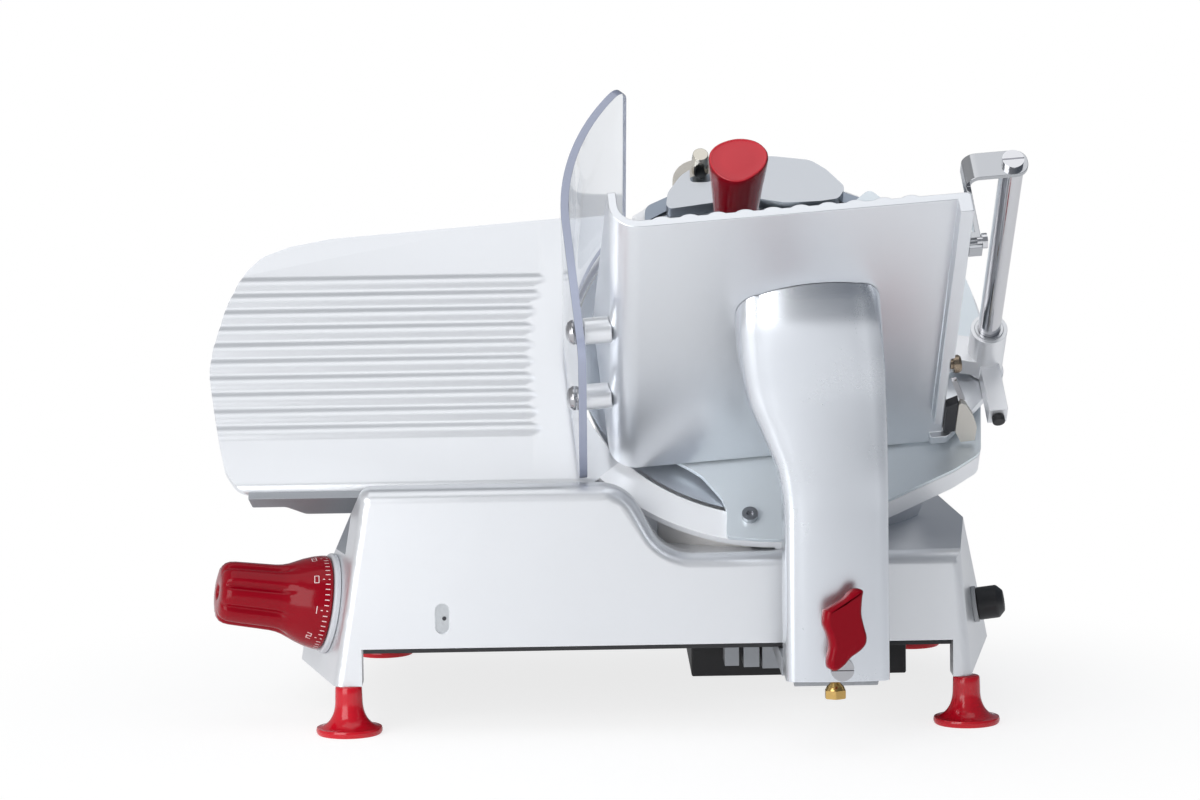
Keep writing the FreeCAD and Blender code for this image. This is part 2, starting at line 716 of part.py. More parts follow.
def belt_outline(extra):
    """Loop round both pulleys, drawn as two arcs and two tangents."""
    big = blade_pulley_radius + extra
    small = motor_pulley_radius + extra
    distance = abs(motor_offset_t)
    lean = math.degrees(math.asin((big - small) / distance))
    low_right = vector(*polar(small, -lean), 0) + vector(0, motor_offset_t, 0)
    low_left = vector(*polar(small, 180 + lean), 0) + vector(0, motor_offset_t, 0)
    low_end = vector(0, motor_offset_t - small, 0)
    high_right = vector(*polar(big, -lean), 0)
    high_left = vector(*polar(big, 180 + lean), 0)
    return Part.Wire([
        Part.Arc(low_left, low_end, low_right).toShape(),
        Part.makeLine(low_right, high_right),
        Part.Arc(high_right, vector(0, big, 0), high_left).toShape(),
        Part.makeLine(high_left, low_left)])


belt_run = 0.3
belt = Part.Face(belt_outline(belt_run + belt_thickness)).extrude(vector(0, 0, pulley_width - 3.4))
belt = belt.cut(Part.Face(belt_outline(belt_run)).extrude(vector(0, 0, pulley_width - 3.4)))
belt.translate(vector(0, 0, pulley_rear_n + 1.7))
save("drive_belt", placed(belt, blade_frame))

# Motor: a finned body with a flange held in the drum
motor = cylinder(motor_radius - 3, motor_rear_n, motor_front_n, 0, motor_offset_t)
fin_count = 20
for i in range(fin_count):
    fin = block((-1.5, 0, motor_rear_n + 6), (1.5, motor_radius, motor_front_n - 14))
    fin = placed(fin, rotation(z_axis, 360 * i / fin_count))
    fin.translate(vector(0, motor_offset_t, 0))
    motor = motor.fuse(fin)
motor = motor.fuse(cylinder(motor_radius, motor_front_n - 14, motor_front_n, 0, motor_offset_t))
plate_outline = [(-50, -30), (50, -30), (92, -56), (60, -96), (-60, -96), (-92, -56)]
motor_plate = cylinder(drum_radius - drum_wall - seat_gap, motor_front_n - 1, motor_front_n + 5).common(
    prism(plate_outline, motor_front_n - 10, motor_front_n + 10))
motor = motor.fuse(motor_plate)
motor = motor.cut(cylinder(motor_shaft_radius + shaft_gap, motor_rear_n - 10, 0, 0, motor_offset_t))
save("motor_body", placed(motor.removeSplitter(), blade_frame))

# Tie rod: runs through the drum and the spindle and pulls the blade cover on
cover_rear_n = blade_face_n + 0.6
cover_front_n = cover_rear_n + cover_thickness
cover_boss_radius = 12.0
cover_boss_rear_n = blade_front_n + 0.5
tie_rod = cylinder(tie_rod_radius, drum_rear_n - 12, cover_rear_n - 0.2)
save("tie_rod", placed(tie_rod, blade_frame))
tie_knob = revolved([
    (0, -24), (9, -24), (13, -22.5), (16, -18), (16, -8), (13, -4), (9, -0.4), (0, -0.4)])
tie_knob = tie_knob.cut(cylinder(tie_rod_radius, -12, 1))
lobe_count = 6
for i in range(lobe_count):
    x, y = polar(20.0, 360 * i / lobe_count)
    tie_knob = tie_knob.cut(cylinder(6.5, -30, 3, x, y))
tie_knob.translate(vector(0, 0, drum_rear_n))
save("tie_rod_knob", placed(tie_knob, blade_frame))

# Blade cover: a flat plate over the blade, with a lobe at the right and an ear at the top
cover_outline = grown([
    (0.0, 0.0), (-66.0, -85.0), (-47.0, -99.0), (-35.0, -116.0), (-32.0, -126.0), (-33.0, -144.5),
    (3.0, -148.0), (71.0, -118.0), (112.0, -97.0), (129.0, -85.0), (131.0, -60.0), (134.5, -10.0),
    (136.0, 17.0), (132.0, 41.0), (128.0, 53.0)])
cover_radii = [0, 0, 12, 14, 10, 3, 40, 60, 60, 8, 120, 120, 60, 60, 0]
cover_ear = grown([
    (0.0, 0.0), (128.0, 53.0), (100.0, 96.0), (87.0, 108.0), (71.0, 124.0), (50.0, 104.0), (40.0, 100.0)])
ear_radii = [0, 0, 0, 4, 4, 10, 0]
bolt_head_radius = 5.0
slotted_head_radius = 3.2
cover = union([
    cylinder(cover_disc_radius, cover_rear_n, cover_front_n),
    sector(1.0, pan_radius - 0.5, 20.0, 51.0, cover_rear_n, cover_front_n),
    prism(cover_outline, cover_rear_n, cover_front_n, cover_radii),
    prism(cover_ear, cover_rear_n, cover_front_n, ear_radii),
    cylinder(cover_boss_radius, cover_boss_rear_n, cover_rear_n + 1)])
cover = cover.cut([
    cylinder(tie_rod_radius + shaft_gap, cover_boss_rear_n - 1, cover_rear_n),
    cylinder(bolt_radius + 0.2, 0, 20, *cover_bolt),
    cylinder(bolt_radius + 0.2, 0, 20, *cover_screw)])
save("blade_cover", placed(cover, blade_frame))
bolt_head = cylinder(bolt_head_radius, cover_front_n, cover_front_n + 4.0, *cover_bolt).fuse(
    cylinder(bolt_radius, ring_back_n + 0.5, cover_front_n + 0.5, *cover_bolt))
hex_socket = prism([polar(2.4, 60 * i) for i in range(6)], cover_front_n + 1.5, cover_front_n + 10)
hex_socket.translate(vector(*cover_bolt, 0))
slotted = cylinder(slotted_head_radius, cover_front_n, cover_front_n + 1.4, *cover_screw).fuse(
    cylinder(bolt_radius, cover_rear_n, cover_front_n + 0.5, *cover_screw))
slotted = slotted.cut(block((cover_screw[0] - 5, cover_screw[1] - 0.5, cover_front_n + 0.7),
                            (cover_screw[0] + 5, cover_screw[1] + 0.5, cover_front_n + 5)))
save("blade_cover_screws", [placed(bolt_head.cut(hex_socket), blade_frame), placed(slotted, blade_frame)])

# Slice deflector: a thin band round the drum's left side with a lip behind the blade's edge
deflector_start = 150.0
deflector_end = 212.0
deflector_sheet = 1.5
deflector = union([
    sector(drum_radius + seat_gap, drum_radius + seat_gap + deflector_sheet, deflector_start, deflector_end,
           -52.0, drum_front_n),
    sector(drum_radius + seat_gap, blade_radius - 4, deflector_start, deflector_end,
           drum_front_n - deflector_sheet, drum_front_n)])
save("slice_deflector", placed(deflector, blade_frame))

# Sharpener: a plate over the top of the housing, a cover, a grinding wheel behind the blade's edge
# and a deburring wheel in front of it
sharpener_base_top = 3.2
sharpener_cover_low = sharpener_base_top + seat_gap
sharpener_cover_top = 13.0
sharpener_wall = 2.5
sharpener_edge_radius = ring_inner_radius + 0.3
base_plate = prism(grown([
    (-77.5, 98.0), (-77.0, 115.0), (-62.0, 123.0), (-45.0, 140.0), (7.0, 146.0), (35.0, 142.0),
    (55.0, 124.0), (71.0, 117.0), (64.0, 106.0)]), 0.0, sharpener_base_top, [2, 8, 10, 12, 20, 14, 12, 4, 2])
grinding_radius = 3.0
deburring_x = -14.0
deburring_t = stone_t
deburring_radius = 19.5
deburring_low = 5.5
deburring_thickness = 4.0
button_radius = 5.0
base_plate = base_plate.cut([
    cylinder(sharpener_edge_radius, -5, 10),
    cylinder(grinding_radius + shaft_gap, -5, 10, stone_x, stone_t),
    cylinder(grinding_radius + shaft_gap, -5, 10, deburring_x, deburring_t)])
save("sharpener_base", placed(base_plate, blade_frame))
cover_points = grown([
    (-64.0, 105.0), (-62.0, 119.0), (-53.0, 133.0), (-40.0, 143.0), (7.0, 148.0), (33.0, 144.0),
    (43.0, 136.0), (55.0, 121.0), (50.0, 112.0), (38.0, 110.0), (15.0, 109.0), (-8.0, 114.0)])
cover_corner_radii = [4, 12, 16, 14, 40, 14, 14, 6, 6, 20, 30, 40]
cover_middle = grown([(-5.0, 127.0)])[0]


def towards(points, centre, distance):
    """Points moved a distance towards a centre."""
    moved = []
    for x, y in points:
        length = math.hypot(centre[0] - x, centre[1] - y)
        moved.append((x + (centre[0] - x) * distance / length, y + (centre[1] - y) * distance / length))
    return moved


sharpener_cover = prism(cover_points, sharpener_cover_low, sharpener_cover_top, cover_corner_radii)
hollow_points = towards(cover_points, cover_middle, sharpener_wall + 1.0)
hollow_radii = [max(r - 3, 1) for r in cover_corner_radii]
hollow = prism(hollow_points, sharpener_cover_low - 1, sharpener_cover_top - sharpener_wall, hollow_radii)
sharpener_cover = sharpener_cover.cut([
    hollow,
    cylinder(deburring_radius + 0.8, sharpener_cover_low - 1, sharpener_cover_top - sharpener_wall,
             deburring_x, deburring_t),
    cylinder(button_radius + part_gap, 0, 20, deburring_x, deburring_t),
    prism([(stone_x - 7, stone_t - 14), (stone_x + 7, stone_t - 14), (stone_x + 7, stone_t + 10),
           (stone_x - 7, stone_t + 10)], 0, 20, 3.0)])
save("sharpener_cover", placed(sharpener_cover, blade_frame))
stone = tube(stone_radius, grinding_radius + shaft_gap, stone_rear_n, stone_rear_n + stone_thickness,
             stone_x, stone_t)
save("grinding_stone", placed(stone, blade_frame))
pin = revolved([(0, stone_rear_n - 0.8), (5.0, stone_rear_n - 0.8), (5.0, stone_rear_n - 0.1),
                (grinding_radius, stone_rear_n - 0.1),
                (grinding_radius, 7.0), (5.6, 7.0), (5.6, 20.0), (5.0, 25.0), (0, 25.0)])
pin.translate(vector(stone_x, stone_t, 0))
save("grinding_shaft", placed(pin, blade_frame))
deburring_stone = tube(deburring_radius, grinding_radius + shaft_gap, deburring_low,
                       deburring_low + deburring_thickness, deburring_x, deburring_t)
save("deburring_stone", placed(deburring_stone, blade_frame))
button_low = deburring_low + deburring_thickness + part_gap
deburring_shaft = cylinder(grinding_radius, 2.3, button_low + 0.5, deburring_x, deburring_t).fuse(
    cylinder(button_radius, button_low, sharpener_cover_top + 0.6, deburring_x, deburring_t))
save("deburring_shaft", placed(deburring_shaft, blade_frame))

# Thickness gauge: a ribbed plate with a flat crescent next to the blade
gauge_face_n = blade_face_n
gauge_rear_n = gauge_face_n - gauge_plate_thickness
gauge_edge_angle = ring_start_angle - 0.5
gauge_left = [(-284.0, 96.0), (-310.0, 90.0), (-328.0, 82.0), (-338.0, 70.0), (-344.0, 57.0), (-350.0, 41.0),
              (-357.0, 9.0), (-359.0, -10.0), (-355.0, -37.0), (-351.0, -61.0), (-346.0, -87.0),
              (-335.0, -104.0)]
gauge_outline = ([(-100.0, 113.0), (-133.0, 110.0)] + gauge_left
                 + [(-113.0, -104.0), polar(ring_outer_radius + 1, gauge_edge_angle),
                    polar(110.0, gauge_edge_angle), (-60.0, 0.0)])
gauge_radii = [3, 10, 60, 20, 20, 20, 30, 60, 40, 60, 60, 60, 20, 14, 2, 2, 0, 0]
plate_low = gauge_face_n - gauge_rib_height
plate_outline = prism(gauge_outline, gauge_rear_n - 1, gauge_face_n + 1, gauge_radii)
plate_outline = plate_outline.cut(cylinder(ring_inner_radius, -30, 30))
section = [vector(-110.0, gauge_rear_n, 0), vector(120.0, gauge_rear_n, 0), vector(120.0, plate_low, 0)]
edges = [Part.makeLine(section[0], section[1]), Part.makeLine(section[1], section[2])]
here = section[2]
for i in range(gauge_rib_count):
    crest = gauge_rib_first_t - gauge_rib_pitch * i
    start = vector(crest + gauge_rib_half, plate_low, 0)
    end = vector(crest - gauge_rib_half, plate_low, 0)
    edges.append(Part.makeLine(here, start))
    edges.append(Part.Arc(start, vector(crest, gauge_face_n, 0), end).toShape())
    here = end
for point in ((-63.0, plate_low), (-64.0, plate_low + 0.6), (-98.0, plate_low + 0.6), (-110.0, plate_low)):
    edges.append(Part.makeLine(here, vector(*point, 0)))
    here = vector(*point, 0)
edges.append(Part.makeLine(here, section[0]))
ribbed = Part.Face(Part.Wire(edges)).extrude(vector(0, 0, 275.0))
ribbed = placed(ribbed, side_frame)
ribbed.translate(vector(-365.0, 0, 0))
crescent_left = [(-134.0, 103.0), (-146.0, 68.0), (-154.0, 34.0), (-156.0, 1.0), (-154.0, -37.0),
                 (-150.0, -66.0),
                 (-147.0, -85.0), (-140.0, -92.0), (-124.0, -96.0), (-105.0, -97.0)]
crescent = prism([(-60.0, 110.0), (-128.0, 110.0)] + crescent_left + [(-60.0, 0.0)], gauge_rear_n,
                 gauge_face_n,
                 [0, 3, 20, 60, 60, 60, 60, 60, 8, 8, 20, 0, 0])
gauge_plate = ribbed.fuse(crescent).common(plate_outline).removeSplitter()
save("gauge_plate", placed(gauge_plate, blade_frame))

# Gauge support: the flange under the plate, the arm through the deck, the bush on its rod
support_top_n = gauge_rear_n - seat_gap
gauge_arm_rear_n = -42.0
gauge_arm_front_n = -24.0
gauge_arm_foot_t = gauge_rod_t - 12.0
# The flange's lower edge steps down towards the arm, drawn in x and n
flange_step = [(-331.0, support_top_n), (-329.0, -14.0), (-308.0, -14.0), (-296.0, -22.5), (-200.0, -22.5),
               (-190.0, -14.0), (-112.0, -12.0), (-112.0, support_top_n)]
support = union([
    front_prism(flange_step, -104.0, -92.0, [0, 1, 6, 6, 6, 6, 0, 0]),
    block((gauge_arm_left_x, -112.0, gauge_arm_rear_n), (gauge_arm_right_x, -92.0, support_top_n)),
    block((gauge_arm_left_x, gauge_arm_foot_t, gauge_arm_rear_n), (gauge_arm_right_x, -104.0,
            gauge_arm_front_n)),
    block((gauge_arm_left_x + 1, gauge_arm_foot_t, gauge_bush_front_n - 16), (gauge_rod_x, -140.0,
            gauge_bush_front_n)),
    cylinder(gauge_bush_radius, gauge_bush_front_n - gauge_bush_length, gauge_bush_front_n,
             gauge_rod_x, gauge_rod_t)])
support = support.cut(cylinder(gauge_rod_radius + shaft_gap, -100, 0, gauge_rod_x, gauge_rod_t))
support = placed(support, blade_frame)
gauge_rod = cylinder(gauge_rod_radius, gauge_rod_rear_n, gauge_rod_front_n, gauge_rod_x, gauge_rod_t)
save("gauge_rod", placed(gauge_rod, blade_frame))
blade_normal = blade_frame.Rotation.multVec(z_axis)
slide_direction = blade_normal * -1.0
across = slide_direction - knob_axis * slide_direction.dot(knob_axis)
cam_ratio = across.Length
across.normalize()
cam_centre = knob_face + knob_axis * ((cam_front_s + cam_rear_s) / 2)
follower_gap = 0.8
follower_point = cam_centre - across * (cam_max_radius + follower_radius + follower_gap)
follower_front_s = cam_thickness / 2 + 0.5
follower_rear_s = -cam_thickness / 2 - 9.0
follower_holder_s = -cam_thickness / 2 - 0.8
follower_frame = frame_along(follower_point, knob_axis)
holder = placed(cylinder(follower_radius + 3, follower_rear_s, follower_holder_s), follower_frame)
support = support.fuse(holder).removeSplitter()
support = support.cut(placed(cylinder(follower_radius, follower_rear_s + 1, 20), follower_frame))
save("gauge_support", support)
save("cam_follower", placed(cylinder(follower_radius, follower_rear_s + 1, follower_front_s), follower_frame))

# Cam: its radius falls evenly with the knob's turn, so the gauge plate follows it back
cam_fall = gauge_travel * cam_ratio
cam_step_count = 30
knob_first = knob_frame.Rotation.multVec(x_axis)
knob_second = knob_frame.Rotation.multVec(y_axis)
rest_angle = math.degrees(math.atan2(-across.dot(knob_second), -across.dot(knob_first)))
cam_points = []
for i in range(cam_step_count + 1):
    turned = knob_turn * i / cam_step_count
    cam_points.append(polar(cam_max_radius - cam_fall * turned / knob_turn, rest_angle - turned))
for extra in (14.0, 28.0):
    cam_points.append(polar(cam_max_radius - cam_fall, rest_angle - knob_turn - extra))
cam_points.append(polar(cam_max_radius, rest_angle + 18.0))
spiral = Part.BSplineCurve()
spiral.interpolate([vector(x, y, 0) for x, y in cam_points[:-1]])
closing = Part.makePolygon([vector(*cam_points[-2], 0), vector(*cam_points[-1], 0)])
start_arc = Part.Arc(vector(*cam_points[-1], 0), vector(*polar(cam_max_radius, rest_angle + 9.0), 0),
                     vector(*cam_points[0], 0)).toShape()
cam = Part.Face(Part.Wire([spiral.toShape(), closing.Edges[0], start_arc])).extrude(vector(0, 0,
        cam_thickness))
cam.translate(vector(0, 0, cam_rear_s))
cam = cam.cut(cylinder(knob_shaft_radius, -60, 10))
save("thickness_cam", placed(cam, knob_frame))
shaft_rear_s = cam_rear_s - 0.5
shaft_front_s = 40.0
save("knob_shaft", placed(cylinder(knob_shaft_radius, shaft_rear_s, shaft_front_s), knob_frame))
index_ring = revolved([(12.0, seat_gap), (index_ring_radius, seat_gap), (index_ring_radius,
        index_ring_thickness - 1.0),
                       (index_ring_radius - 1.0, index_ring_thickness), (12.0, index_ring_thickness)])
save("index_ring", placed(index_ring, knob_frame))
knob_low = index_ring_thickness + part_gap
knob_profile = [(0, 0), (29.5, 0), (29.5, 3), (28, 9), (24, 17), (21.5, 24), (20, 32), (19.5, 60),
                (18.5, 64.5),
                (15, 67.5), (9, 68.4), (0, 68.5)]
knob = revolved(knob_profile)
flute_count = 10
for i in range(flute_count):
    x, y = polar(knob_grip_radius + 1.8, 360 * i / flute_count)
    knob = knob.cut(cylinder(3.4, 26.0, 80.0, x, y))
knob = knob.cut(cylinder(knob_shaft_radius, -1, shaft_front_s - knob_low))
knob.translate(vector(0, 0, knob_low))
save("thickness_knob", placed(knob, knob_frame))

# Guide bar and the carriage block that slides along it
save("guide_bar", rod_between(vector(bar_left_x + 0.5, bar_y, bar_z), vector(bar_right_x - 0.5, bar_y,
        bar_z), bar_radius))
bush_radius = bar_radius + bush_wall
block_radius = bush_radius + block_wall
bar_axis_left = vector(block_left_x, bar_y, bar_z)
bar_axis_right = vector(arm_right_x, bar_y, bar_z)
bush_length = 28.0
bushes = []
for low in (block_left_x, arm_right_x - bush_length):
    outer_bush = rod_between(vector(low, bar_y, bar_z), vector(low + bush_length, bar_y, bar_z), bush_radius)
    inner_bush = rod_between(vector(low - 1, bar_y, bar_z), vector(low + bush_length + 1, bar_y, bar_z),
                             bar_radius + shaft_gap)
    bushes.append(outer_bush.cut(inner_bush))
save("slide_bushes", bushes)
roller_z = 78.3
roller_pin_radius = 3.0
roller_front_y = -144.0
roller_rear_y = roller_front_y + roller_width
tongue_radius = 22.0
tongue_left_x = arm_left_x + arm_wall + 1.0
tongue_right_x = arm_right_x - arm_wall - 1.0
neck_top_z = foot_plate_top_z + 1
slide_block = union([
    rod_between(bar_axis_left, bar_axis_right, block_radius),
    block((block_left_x, bar_y - neck_half, neck_top_z - 2), (arm_right_x, bar_y + neck_half, bar_z)),
    block((block_left_x, -71.0, foot_plate_bottom_z), (arm_right_x, bar_y + 13, foot_plate_top_z)),
    block((block_left_x, -71.0, 25.0), (54.0, bar_y + 13, foot_plate_bottom_z + 1)),
    block((57.0, -71.0, 24.0), (67.0, bar_y + 13, foot_plate_bottom_z + 1)),
    block((69.0, -71.0, 23.0), (arm_right_x, bar_y + 13, foot_plate_bottom_z + 1)),
    block((arm_left_x, -184.0, foot_plate_bottom_z), (arm_right_x, -70.0, foot_plate_top_z)),
    block((tongue_left_x, -214.0, foot_plate_bottom_z), (tongue_right_x, -183.0, foot_plate_top_z)),
    rod_between(vector(tongue_left_x, pivot_y, pivot_z), vector(tongue_right_x, pivot_y, pivot_z),
                tongue_radius),
    block((post_left_x, post_front_y, foot_plate_bottom_z + 1), (post_right_x, post_rear_y, 95.0)),
    rod_between(vector(110.0, post_front_y + 1, roller_z), vector(110.0, roller_front_y - 1.5, roller_z),
                roller_pin_radius)])
slide_block = slide_block.cut([
    rod_between(bar_axis_left - x_axis, bar_axis_right + x_axis, bush_radius),
    rod_between(vector(tongue_left_x - 1, pivot_y, pivot_z), vector(tongue_right_x + 1, pivot_y, pivot_z),
                pivot_radius + shaft_gap)])
save("slide_block", slide_block)
roller = rod_between(vector(110.0, roller_front_y, roller_z), vector(110.0, roller_rear_y, roller_z),
                     roller_radius)
roller = roller.cut(rod_between(vector(110.0, roller_front_y - 1, roller_z), vector(110.0,
        roller_rear_y + 1, roller_z),
                                roller_pin_radius + shaft_gap))
save("carriage_roller", roller)
rail_top_z = roller_z - roller_radius - part_gap
rail = block((-182.0, base_front_y + wall + seat_gap, rail_top_z - 8.0), (178.0, roller_rear_y + 2.0,
        rail_top_z))
save("roller_rail", rail)

# Carriage arm: a tall hollow casting with rounded corners. Its upper half widens to the left and
# leans forward to the underside of the table.
# Each section: height, left, right, front, rear and corner radius
arm_sections = [
    (43.0, 75.0, 137.0, -238.0, -191.0, 8.0), (63.0, 75.0, 137.0, -238.0, -191.0, 8.0),
    (83.0, 75.0, 137.0, -238.0, -191.0, 8.0), (103.0, 75.0, 137.0, -238.0, -191.0, 8.0),
    (123.0, 75.0, 137.0, -238.0, -191.0, 8.5), (143.0, 75.0, 137.0, -238.0, -191.0, 9.5),
    (166.0, 72.0, 137.0, -238.0, -193.0, 11.0), (190.0, 63.5, 137.0, -238.0, -198.0, 13.0),
    (212.0, 54.5, 136.5, -238.5, -203.0, 14.0), (235.0, 49.5, 135.5, -240.0, -206.0, 14.0),
    (262.0, 47.5, 134.0, -244.5, -208.0, 14.0), (285.0, 46.8, 132.5, -249.5, -209.0, 14.0),
    (310.0, 46.5, 131.0, -255.0, -210.0, 14.0)]
arm_wires = []
for z, left, right, front, rear, radius in arm_sections:
    wire = rounded_wire([(left, front), (right, front), (right, rear), (left, rear)], radius)
    wire.translate(vector(0, 0, z))
    arm_wires.append(wire)
arm = Part.makeLoft(arm_wires, True, False)
table_cut = placed(block((-300.0, table_under - seat_gap, -50.0), (300.0, 300.0, 400.0)), carriage_frame)
arm = arm.cut([
    table_cut,
    block((arm_left_x + arm_wall, arm_front_y + arm_wall, 0.0), (arm_right_x - arm_wall,
            arm_rear_y - arm_wall, 150.0)),
    block((arm_left_x + arm_wall, arm_front_y + 18, 0.0), (arm_right_x - arm_wall, arm_rear_y + 5, 95.0)),
    rod_between(vector(arm_left_x - 5, pivot_y, pivot_z), vector(arm_right_x + 5, pivot_y, pivot_z),
                pivot_radius)])
lock_turn = 20.0
lock_centre = vector(107.0, arm_front_y - 13.0, 76.5)
lock_frame = FreeCAD.Placement(lock_centre, FreeCAD.Rotation(z_axis, lock_turn)).multiply(front_frame)
lock_stud_radius = 4.0
lock_stud_length = 18.5
lock_thickness = 9.0
bolt_x = 104.0
bolt_y = -235.5
arm_screw_x = 108.0
arm_screw_z = 51.0
screw_shank = 4.0
arm = arm.cut([
    placed(cylinder(lock_stud_radius + shaft_gap, -lock_stud_length - 1, 5), lock_frame),
    rod_between(vector(arm_screw_x, arm_front_y - 1, arm_screw_z), vector(arm_screw_x, arm_front_y + 10,
            arm_screw_z),
                screw_shank),
    cylinder(2.2, 40.0, 47.0, bolt_x, bolt_y)])
save("carriage_arm", arm)
pin = rod_between(vector(arm_left_x + 0.3, pivot_y, pivot_z), vector(arm_right_x - 0.3, pivot_y, pivot_z),
                  pivot_radius)
save("arm_pivot_pin", pin)
head = rod_between(vector(arm_screw_x, arm_front_y - 4, arm_screw_z), vector(arm_screw_x, arm_front_y,
        arm_screw_z), 7.0)
head = head.fuse(rod_between(vector(arm_screw_x, arm_front_y - 1, arm_screw_z),
                             vector(arm_screw_x, arm_front_y + 6, arm_screw_z), screw_shank))
head = head.cut(block((arm_screw_x - 8, arm_front_y - 5, arm_screw_z - 0.7), (arm_screw_x + 8,
        arm_front_y - 2.4, arm_screw_z + 0.7)))
save("arm_screw", head)
arm_bolt = revolved([(0, 33.0), (6.4, 33.0), (6.9, 33.6), (6.9, 38.0), (6.0, 38.0), (5.2, 40.0),
                     (3.2, 42.0), (2.2, 43.0),
                     (2.2, 46.8), (0, 46.8)])
hexagon = prism([polar(12.0 / math.sqrt(3), 60 * i + 30) for i in range(6)], 30.0, 38.0)
arm_bolt = arm_bolt.common(hexagon.fuse(cylinder(7.0, 38.0, 50.0)))
arm_bolt.translate(vector(bolt_x, bolt_y, 0))
save("arm_bolt", arm_bolt)
lock_outline = [(-13.0, 12.6), (-10.6, 14.6), (-1.2, 19.0), (4.0, 23.6), (7.5, 25.0), (11.2, 23.6),
                (10.6, 18.8),
                (10.1, 10.0), (11.7, 2.4), (13.3, -3.5), (12.7, -8.3), (9.1, -12.2), (2.9, -16.0),
                (-1.2, -20.0),
                (-6.4, -23.0), (-10.6, -21.3), (-11.1, -16.0), (-9.5, -8.3), (-11.1, -1.5), (-13.6, 5.3)]
lock_curve = Part.BSplineCurve()
lock_curve.interpolate([vector(x, y, 0) for x, y in lock_outline], PeriodicFlag=True)
lock_knob = Part.Face(Part.Wire([lock_curve.toShape()])).extrude(vector(0, 0, lock_thickness))
lock_knob = lock_knob.fuse([cylinder(8.0, -5.0, 0.5), cylinder(lock_stud_radius, -lock_stud_length,
        1.0)]).removeSplitter()
save("lock_knob", placed(lock_knob, lock_frame))

# Meat table: sheet with a fence at the left, ribs on the floor and a flange at the right
table_section = [
    (table_left, 60.0), (table_left, table_under), (table_right - flange_width - 1, table_under),
    (table_right - flange_width - 1, table_under - flange_drop), (table_right, table_under - flange_drop),
    (table_right, table_under + table_sheet), (table_left + table_sheet, table_under + table_sheet),
    (table_left + table_sheet, 60.0)]
table = prism(table_section, table_far_n, table_near_n, [0, table_fold_radius, 0, 0, 1, 3,
        table_fold_radius - table_sheet, 0])
table_rib_count = 10
floor_top = table_under + table_sheet
for i in range(table_rib_count):
    x = -82.0 + table_rib_pitch * i
    rib = Part.Face(Part.Wire([
        Part.Arc(vector(x - table_rib_half, floor_top - 0.2, 0), vector(x, floor_top + table_rib_height, 0),
                 vector(x + table_rib_half, floor_top - 0.2, 0)).toShape(),
        Part.makeLine(vector(x + table_rib_half, floor_top - 0.2, 0), vector(x - table_rib_half,
                floor_top - 0.2, 0))]))
    rib = rib.extrude(vector(0, 0, table_near_n - table_far_n))
    rib.translate(vector(0, 0, table_far_n))
    table = table.fuse(rib)
# Everything above the fence's sloping top edge, drawn in t and n
fence_cut = side_prism([(fence_far_top, table_far_n - 1), (fence_near_top, table_near_n + 1),
                        (90.0, table_near_n + 1),
                        (90.0, table_far_n - 1)], table_left - 1, table_left + table_sheet + 1)
table = table.cut(fence_cut)
flange_left = table_right - flange_width - 1
flange_low_t = table_under - flange_drop - 1
table = table.cut([
    block((flange_left - 1, flange_low_t, 0.0), (table_right + 1, table_under, flange_far_n)),
    block((flange_left + flange_narrow_width, flange_low_t, 0.0),
          (table_right + 1, table_under, flange_narrow_n))])
lug_far_n = 12.0
lug_near_n = 19.5
rod_lug = prism([(89.0, -90.0), (100.0, -90.0), (143.0, -48.0), (143.0, -30.0), (119.0, -28.0), (97.0, -60.0),
                 (89.0, -78.0)], lug_far_n, lug_near_n, [2, 4, 12, 12, 12, 6, 2])
bracket_standoff = 5.0
bracket_leg_left = table_right + 0.2 + bracket_standoff
bracket_far_n = 214.0
bracket_screw_t = -88.0
table = table.fuse(rod_lug).cut(cylinder(rod_radius, 0, 30, rod_x, rod_t)).removeSplitter()
save("meat_table", placed(table, carriage_frame))

# Splash guard: a clear sheet outside the fence, standing on two studs, its top curled over the blade
guard_centre_x = guard_face + guard_curve_radius
guard_inner = guard_curve_radius - guard_sheet
guard = prism([(guard_face, guard_bottom), (guard_face + guard_sheet, guard_bottom),
               (guard_face + guard_sheet, guard_straight_top + 0.01), (guard_face,
                       guard_straight_top + 0.01)],
              guard_far_n, guard_near_n)
curl = sector(guard_inner, guard_curve_radius, 180.0 - guard_curve_angle, 180.0, guard_far_n, guard_near_n)
curl.translate(vector(guard_centre_x, guard_straight_top, 0))
guard = guard.fuse(curl).removeSplitter()
guard_corner = 12.0
guard_blank = side_prism([(guard_bottom, guard_far_n), (120.0, guard_far_n), (120.0, guard_near_n),
                          (guard_bottom, guard_near_n)], guard_face - 5, 0.0, [guard_corner, 0, 0,
                                  guard_corner])
guard = guard.common(guard_blank)
guard_hole = 3.3
studs = []
screws = []
for n in (stud_near_n, stud_far_n):
    start = vector(guard_face + guard_sheet + 0.2, stud_t, n)
    stud = rod_between(start, vector(table_left + 1, stud_t, n), stud_radius)
    stud = stud.cut([table, rod_between(start - x_axis, start + x_axis * 9, 3.0)])
    studs.append(placed(stud, carriage_frame))
    guard = guard.cut(rod_between(vector(guard_face - 1, stud_t, n), start + x_axis, guard_hole))
    dome = revolved([(0, -7.5), (3.0, -7.5), (3.0, 5.7), (7.5, 5.7), (7.5, 7.0), (6.2, 9.2), (3.6, 10.5),
                     (0, 10.9)])
    dome = placed(dome, frame_along(vector(guard_face + guard_sheet + 0.0, stud_t, n), x_axis * -1.0))
    screws.append(placed(dome, carriage_frame))
save("splash_guard", placed(guard, carriage_frame))
save("guard_studs", studs)
save("guard_screws", screws)

